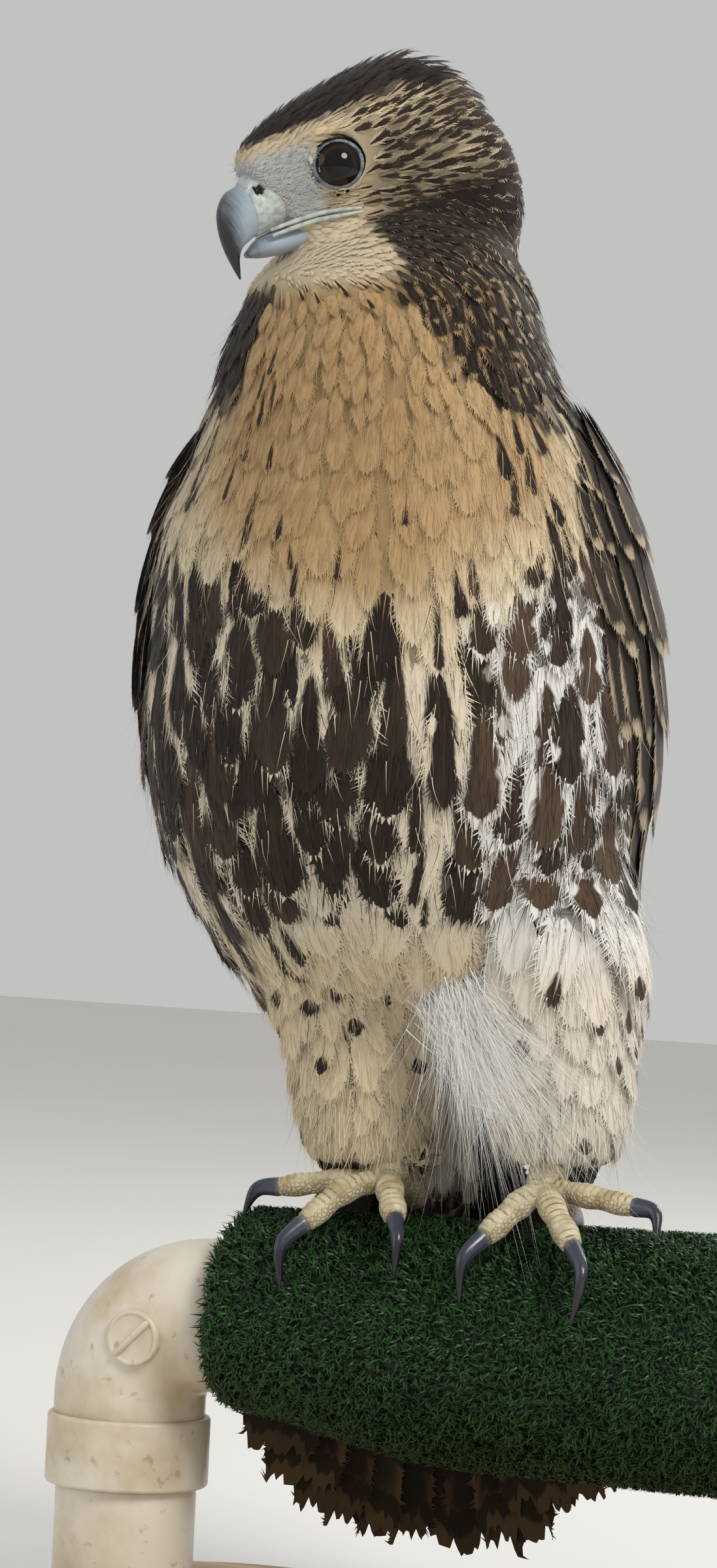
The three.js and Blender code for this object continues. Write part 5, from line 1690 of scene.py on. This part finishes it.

# %% [markdown]
# ## Skin of the feet
# The scutes are smoother than the small scales on the sides. The creases between the scutes and the
# grooves between the side scales are painted dark brown as painted shade. The finish reads both from
# numbers stored with the form.

# %% The finish of the feet
def foot_skin():
    finish = Finish("foot_scales", {"Roughness": 0.5, "Specular IOR Level": 0.45, "Subsurface Weight": 0.06})
    crease_shade, top = finish.read("crease_shade"), finish.read("top")
    cells = {"Vector": finish.place(), "Scale": 620.0, "Randomness": 0.7}
    scale = finish.node("ShaderNodeTexVoronoi", {"feature": "DISTANCE_TO_EDGE"}, cells, "Distance")
    groove_shade = scale.ease(0.0, 0.16, 1.0, 0.0) * (1.0 - top)
    grime = finish.noise(finish.place(), 160.0, 4.0)
    base = finish.blend(grime.ease(0.35, 0.7), colour(204, 194, 162), colour(168, 152, 114))
    # Creases between scutes and grooves between side scales are painted dark brown as painted shade.
    base = finish.blend(crease_shade.most(groove_shade * 0.75) * 0.8, base, colour(98, 70, 42))
    finish.feed(Base_Color=base)
    return finish.bump(scale.ease(0.0, 0.3) * (1.0 - top) + grime * 0.15, 0.0004, 0.7)


# %% [markdown]
# ## Claws
# A claw is a hook of dark horn, deeper than it is wide, that comes out of a pale root. It is a tube along
# a curve of three places. The tips of the front claws follow the photograph.

# %% Build the feet and their claws
foot_finish = foot_skin()
claw_radius = 3.1


def claw_form(foot, toe):
    """A tapering hook, deeper than it is wide, from the toe's end to the claw's tip."""
    path = toe_path(foot, toe, 60)
    tip = np.array(foot[toe][2], float)
    along = unit(path[-1] - path[-2])
    root = path[-1] - along * 0.8
    reach = np.linalg.norm(tip - root)
    crest = (root + along * reach * 0.42) * 0.84 + tip * 0.16 + np.array([0, 0, 1.5])
    curve = path_through([root, crest, tip], 48)
    share = np.linspace(0, 1, 48)
    radii = claw_radius * np.interp(share, [0, 0.06, 0.5, 0.85, 1], [0.84, 0.94, 0.7, 0.3, 0.05])
    points, faces = tube(curve * mm, radii * mm, 28, depth=1.12)
    return points, faces, np.append(np.repeat(share, 28), [0, 1])


def claw_horn():
    finish = Finish("claw_horn", {"Roughness": 0.22, "Specular IOR Level": 0.55})
    reach = finish.read("reach")
    streak = finish.noise(finish.vector(reach * 3, finish.read("round") * 7, 0.0), 2.0, 3.0) - 0.5
    pale = (reach + streak * 0.25).ease(0.0, 0.12, 1.0, 0.0)
    base = finish.blend((reach + streak * 0.4).ease(0.15, 0.8), colour(58, 62, 78), colour(16, 16, 20))
    finish.feed(Base_Color=finish.blend(pale, base, colour(120, 118, 112)))
    return finish.bump(streak, 0.0002, 0.5)


claw_finish = claw_horn()
for word, foot in feet.items():
    points, faces = foot_form(foot)
    points, crease_shade, on_top = scuted(foot, points, faces)
    new_piece(f"foot_{word}_skin", points, faces, foot_finish, "foot_scales", [f"foot_{word}"],
              {"crease_shade": crease_shade, "top": on_top})
    for toe in toe_names:
        points, faces, share = claw_form(foot, toe)
        new_piece(f"talon_{word}_{toe}", points, faces, claw_finish, "claw_horn", [f"claw_{word}_{toe}"],
                  {"reach": share, "round": np.append(np.tile(np.abs(np.linspace(-1, 1, 28)), 48), [0, 0])})

# %% [markdown]
# ## The turf wrap
# Green matting is wrapped round the pipe. Its pile is short, dense and curled, and glints where a blade
# catches the light. The backing is a dark sleeve, and some tens of thousands of blades stand on it, each
# a bent strip of two faces, leaning its own way. The sleeve and the blades' roots are darkened towards
# near-black as painted shade deep in the pile, less and less towards the blades' tips.

# %% Wrap the perch
turf = {"left": -83, "right": 104, "side": 37, "round": 5,
        "top_left": 39, "top_right": 43, "bottom_left": 32, "bottom_middle": 44}
axis_height = 104
pile = 3.8


def turf_ring(x, angle, inset):
    share = (x - turf["left"]) / (turf["right"] - turf["left"])
    top = turf["top_left"] + (turf["top_right"] - turf["top_left"]) * share
    bottom = turf["bottom_left"] + (turf["bottom_middle"] - turf["bottom_left"]) * ease(share, 0, 0.45)
    edge = np.clip(1 - np.minimum(x - turf["left"], turf["right"] - x) / turf["round"], 0, 1)
    inset = inset + turf["round"] * 0.8 * (1 - np.sqrt(1 - edge ** 2))
    reach = np.where(np.sin(angle) > 0, top, bottom) - inset
    return np.stack([x + 0 * angle, np.cos(angle) * (turf["side"] - inset),
                     axis_height + np.sin(angle) * reach], -1)


def turf_finish():
    finish = Finish("green_turf", {"Roughness": 0.42, "Specular IOR Level": 0.32})
    shade, tip = finish.read("shade"), finish.read("tip")
    base = finish.blend(shade, colour(14, 44, 16), colour(46, 96, 34))
    # Painted shade deep in the pile: the green darkened towards near-black, in full on the sleeve and at the
    # blades' roots, less towards their tips.
    deep = finish.blend(0.55, base, colour(6, 16, 8))
    finish.feed(Base_Color=finish.blend(tip.ease(0.2, 1.0) * 0.6, deep, base))
    return finish


stops = np.concatenate([np.linspace(0, 5, 8), np.linspace(8, 179, 60), np.linspace(182, 187, 8)])
stops = stops + turf["left"]
angles = circle(72)
sleeve = turf_ring(stops[:, None], angles[None], pile * 0.8)
sleeve_points, sleeve_faces = closed_rings(sleeve * mm)
turf_green = turf_finish()
# The sleeve has no share of a tip, so it takes the painted shade in full.
new_piece("turf_sleeve", sleeve_points, sleeve_faces, turf_green, "green_turf", ["perch_turf"],
          {"shade": 0, "tip": 0})

draw = np.random.default_rng(91)
blades = 46000
x = turf["left"] + 0.3 + draw.random(blades) * (turf["right"] - turf["left"] - 0.6)
angle = draw.random(blades) * 2 * np.pi
root = turf_ring(x, angle, pile * 0.85)
outward = unit(turf_ring(x, angle, 0) - turf_ring(x, angle, 3))
toe_points = np.concatenate([toe_path(foot, toe, 20) for foot in feet.values() for toe in toe_names])
near_toe = KDTree(len(toe_points))
for index, point in enumerate(toe_points.tolist()):
    near_toe.insert(point, index)
near_toe.balance()
clear = np.array([near_toe.find(point)[2] for point in (root + outward * pile).tolist()])
tall = pile * (0.75 + 0.4 * draw.random(blades)) * (0.35 + 0.65 * ease(clear, 5.0, 7.5))
lean = draw.normal(size=(blades, 3))
lean = unit(lean - outward * np.sum(lean * outward, 1, keepdims=True))
width = unit(np.cross(outward, lean)) * 0.34
middle = root + (outward * 0.62 + lean * 0.25) * tall[:, None]
tip = root + (outward * 0.74 + lean * (0.5 + 0.6 * draw.random((blades, 1)))) * tall[:, None]
blade_points = np.stack([root - width, root + width, middle + width * 0.9, middle - width * 0.9, tip], 1)
base = np.arange(blades)[:, None] * 5
shade = np.repeat(draw.random(blades), 5)
new_piece("turf_pile", blade_points.reshape(-1, 3) * mm,
          [base + np.array([0, 1, 2, 3]), base + np.array([3, 2, 4])], turf_green, "green_turf", (),
          {"shade": shade, "tip": np.tile([0, 0, 0.5, 0.5, 1.0], blades)})

# %% [markdown]
# ## Pipe and stand
# The perch is ordinary plastic plumbing: a straight pipe through the turf, an elbow at each end with a
# fuller collar where the post goes in, and a round moulded boss on the elbow's front. The plastic is
# cream with yellow-brown stains from weather. The stand is a plain rounded board.

# %% Build the pipework and the stand
pipe_radius = 24.15
elbow_radius, elbow_bend = 26, 30
hub_radius, hub_top, hub_bottom = 28, 68, 44
post_at = {"left": 136, "right": -124}
base_board = {"middle": 6, "half_length": 166, "half_depth": 70, "height": 10}


def plastic():
    finish = Finish("pale_pvc", {"Roughness": 0.36, "Specular IOR Level": 0.5, "Coat Weight": 0.15})
    place = finish.place()
    stain = finish.noise(place, 16.0, 5.0, 0.6)
    fleck = finish.noise(place, 210.0, 3.0)
    base = finish.blend(stain.ease(0.42, 0.72), colour(222, 214, 198), colour(188, 168, 134))
    finish.feed(Base_Color=finish.blend(fleck.ease(0.62, 0.74) * 0.5, base, colour(140, 118, 86)))
    return finish.bump(finish.noise(place, 90.0, 3.0), 0.0003, 0.35)


def turned(rows, middle, sides=72):
    """A form turned about an upright line, from (radius, height) rows."""
    angle = circle(sides)
    rings = [
        np.stack([middle + r * np.cos(angle), r * np.sin(angle), np.full(sides, z)], -1) for r, z in rows]
    return closed_rings(np.array(rings) * mm)


def rounded_post(radius, low, high, soft, bulge=0.0):
    """Rows of a short cylinder with softened edges."""
    turn = np.linspace(0, np.pi / 2, 6)
    bottom = [(radius - soft + soft * math.sin(t), low + soft - soft * math.cos(t)) for t in turn]
    top = [(radius - soft + soft * math.cos(t), high - soft + soft * math.sin(t)) for t in turn]
    return [(radius * 0.3, low), *bottom, (radius + bulge, (low + high) / 2), *top, (radius * 0.3, high)]


pvc = plastic()
for word, at in post_at.items():
    side = 1 if at > 0 else -1
    bend_x, bend_z = abs(at) - elbow_bend, axis_height - elbow_bend
    stub_x = (turf["right"] if side > 0 else -turf["left"]) + 0.4
    arc = [(bend_x + math.sin(t) * elbow_bend, bend_z + math.cos(t) * elbow_bend)
           for t in np.linspace(0, np.pi / 2, 24)]
    line = [(min(stub_x, bend_x - 0.5), axis_height), *arc, (abs(at), hub_top - 6)]
    angle = circle(64)
    rings = []
    for index, (px, pz) in enumerate(line):
        before, after = np.array(line[max(index - 1, 0)]), np.array(line[min(index + 1, len(line) - 1)])
        forward = (after - before) / np.linalg.norm(after - before)
        normal = np.array([-forward[1], forward[0]])
        ring_x = px + np.cos(angle) * elbow_radius * normal[0]
        ring_z = pz + np.cos(angle) * elbow_radius * normal[1]
        rings.append(np.stack([ring_x * side, np.sin(angle) * elbow_radius, ring_z], -1))
    body = closed_rings(np.array(rings) * mm)
    collar = turned(rounded_post(hub_radius, hub_bottom, hub_top, 1.4), at)
    boss_middle = np.array([(abs(at) - 13) * side, -23.5, 97])
    turn = circle(48)
    boss_rows = [(9.5, 4), (9.5, -3.4), (9.1, -3.9), (8.2, -4), (7.9, -3.6), (7.4, -3.5), (1.0, -3.5)]
    boss_rings = [
        boss_middle + np.stack([r * np.cos(turn), np.full(48, y), r * np.sin(turn)], -1)
        for r, y in boss_rows]
    boss = closed_rings(np.array(boss_rings) * mm)
    slot_line = np.array([(-6, -4.0, -6), (-5.4, -4.4, -5.4), (5.4, -4.4, 5.4), (6, -4.0, 6)])
    slot = tube((boss_middle + slot_line) * mm, np.array([0.7, 1.2, 1.2, 0.7]) * mm, 12, over=(0, 1, 0))
    points, faces = joined([body, collar, boss, slot])
    new_piece(f"elbow_{word}", points, faces, pvc, "pale_pvc", [f"perch_elbow_{word}"])
    low = base_board["height"] + 0.4
    post = turned(rounded_post(pipe_radius, low, hub_bottom - 0.4, 0.3), at)
    new_piece(f"post_{word}", *post, pvc, "pale_pvc", [f"stand_post_{word}"])

angle = circle(64)
ends = [(turf["left"] + 0.01, pipe_radius - 1), (turf["left"] + 0.6, pipe_radius),
        (turf["right"] - 0.6, pipe_radius), (turf["right"] - 0.01, pipe_radius - 1)]
rings = np.array([
    np.stack([np.full(64, x), r * np.cos(angle), axis_height + r * np.sin(angle)], -1) for x, r in ends])
new_piece("pipe", *closed_rings(rings * mm), pvc, "pale_pvc", ["perch_pipe"])


# %% [markdown]
# ## The display board
# The board isn't in the photo. It is plain pale wood with softened edges, and its grain is a noise that
# is drawn out along the board, with fine darker pores in it.

# %% Build the board
def board():
    finish = Finish("stand_board", {"Roughness": 0.5, "Specular IOR Level": 0.4})
    place = finish.place()
    stretched = finish.node("ShaderNodeMapping", None, {"Vector": place, "Scale": (1.0, 9.0, 9.0)})
    grain = finish.noise(stretched, 14.0, 6.0, 0.65)
    pores = finish.noise(stretched, 120.0, 3.0)
    base = finish.blend(grain.ease(0.3, 0.7), colour(196, 172, 136), colour(158, 128, 92))
    finish.feed(Base_Color=finish.blend(pores.ease(0.58, 0.7) * 0.4, base, colour(112, 84, 56)))
    return finish.bump(grain * 0.5 + pores * 0.3, 0.0004, 0.4)


def board_ring(inset, height):
    straight = base_board["half_length"] - base_board["half_depth"]
    angle = circle(120)
    radius = base_board["half_depth"] - inset
    across = base_board["middle"] + np.sign(np.cos(angle)) * straight + np.cos(angle) * radius
    return np.stack([across, np.sin(angle) * radius, np.full(120, height)], -1)


edge = [(2.0, 0.0), (0.6, 0.4), (0.0, 1.6), (0.0, 7.0), (0.5, 8.8), (1.6, 9.7), (3.2, 10.0), (30, 10.0)]
board_points, board_faces = closed_rings(np.array([board_ring(inset, height) for inset, height in edge]) * mm)
new_piece("stand_board", board_points, board_faces, board(), "stand_board", ["stand_base"])

# %% [markdown]
# ## The floor, and the count of triangles
# The floor isn't part of the object. The number of triangles in all the pieces made here is printed.

# %% Floor and the count of triangles
floor_points = np.array([(-4, -4, 0), (4, -4, 0), (4, 4, 0), (-4, 4, 0)], float)
floor = mesh_object("floor", floor_points, [np.array([[0, 1, 2, 3]])])
paper = Finish("floor_paper", {"Roughness": 0.9, "Specular IOR Level": 0.1})
paper_tone = paper.noise(paper.place(), 3.0, 3.0)
paper.feed(Base_Color=paper.blend(paper_tone, colour(226, 224, 220), colour(232, 230, 226)))
floor.data.materials.append(paper.material)

print("triangles in all:", sum(piece_sizes.values()))
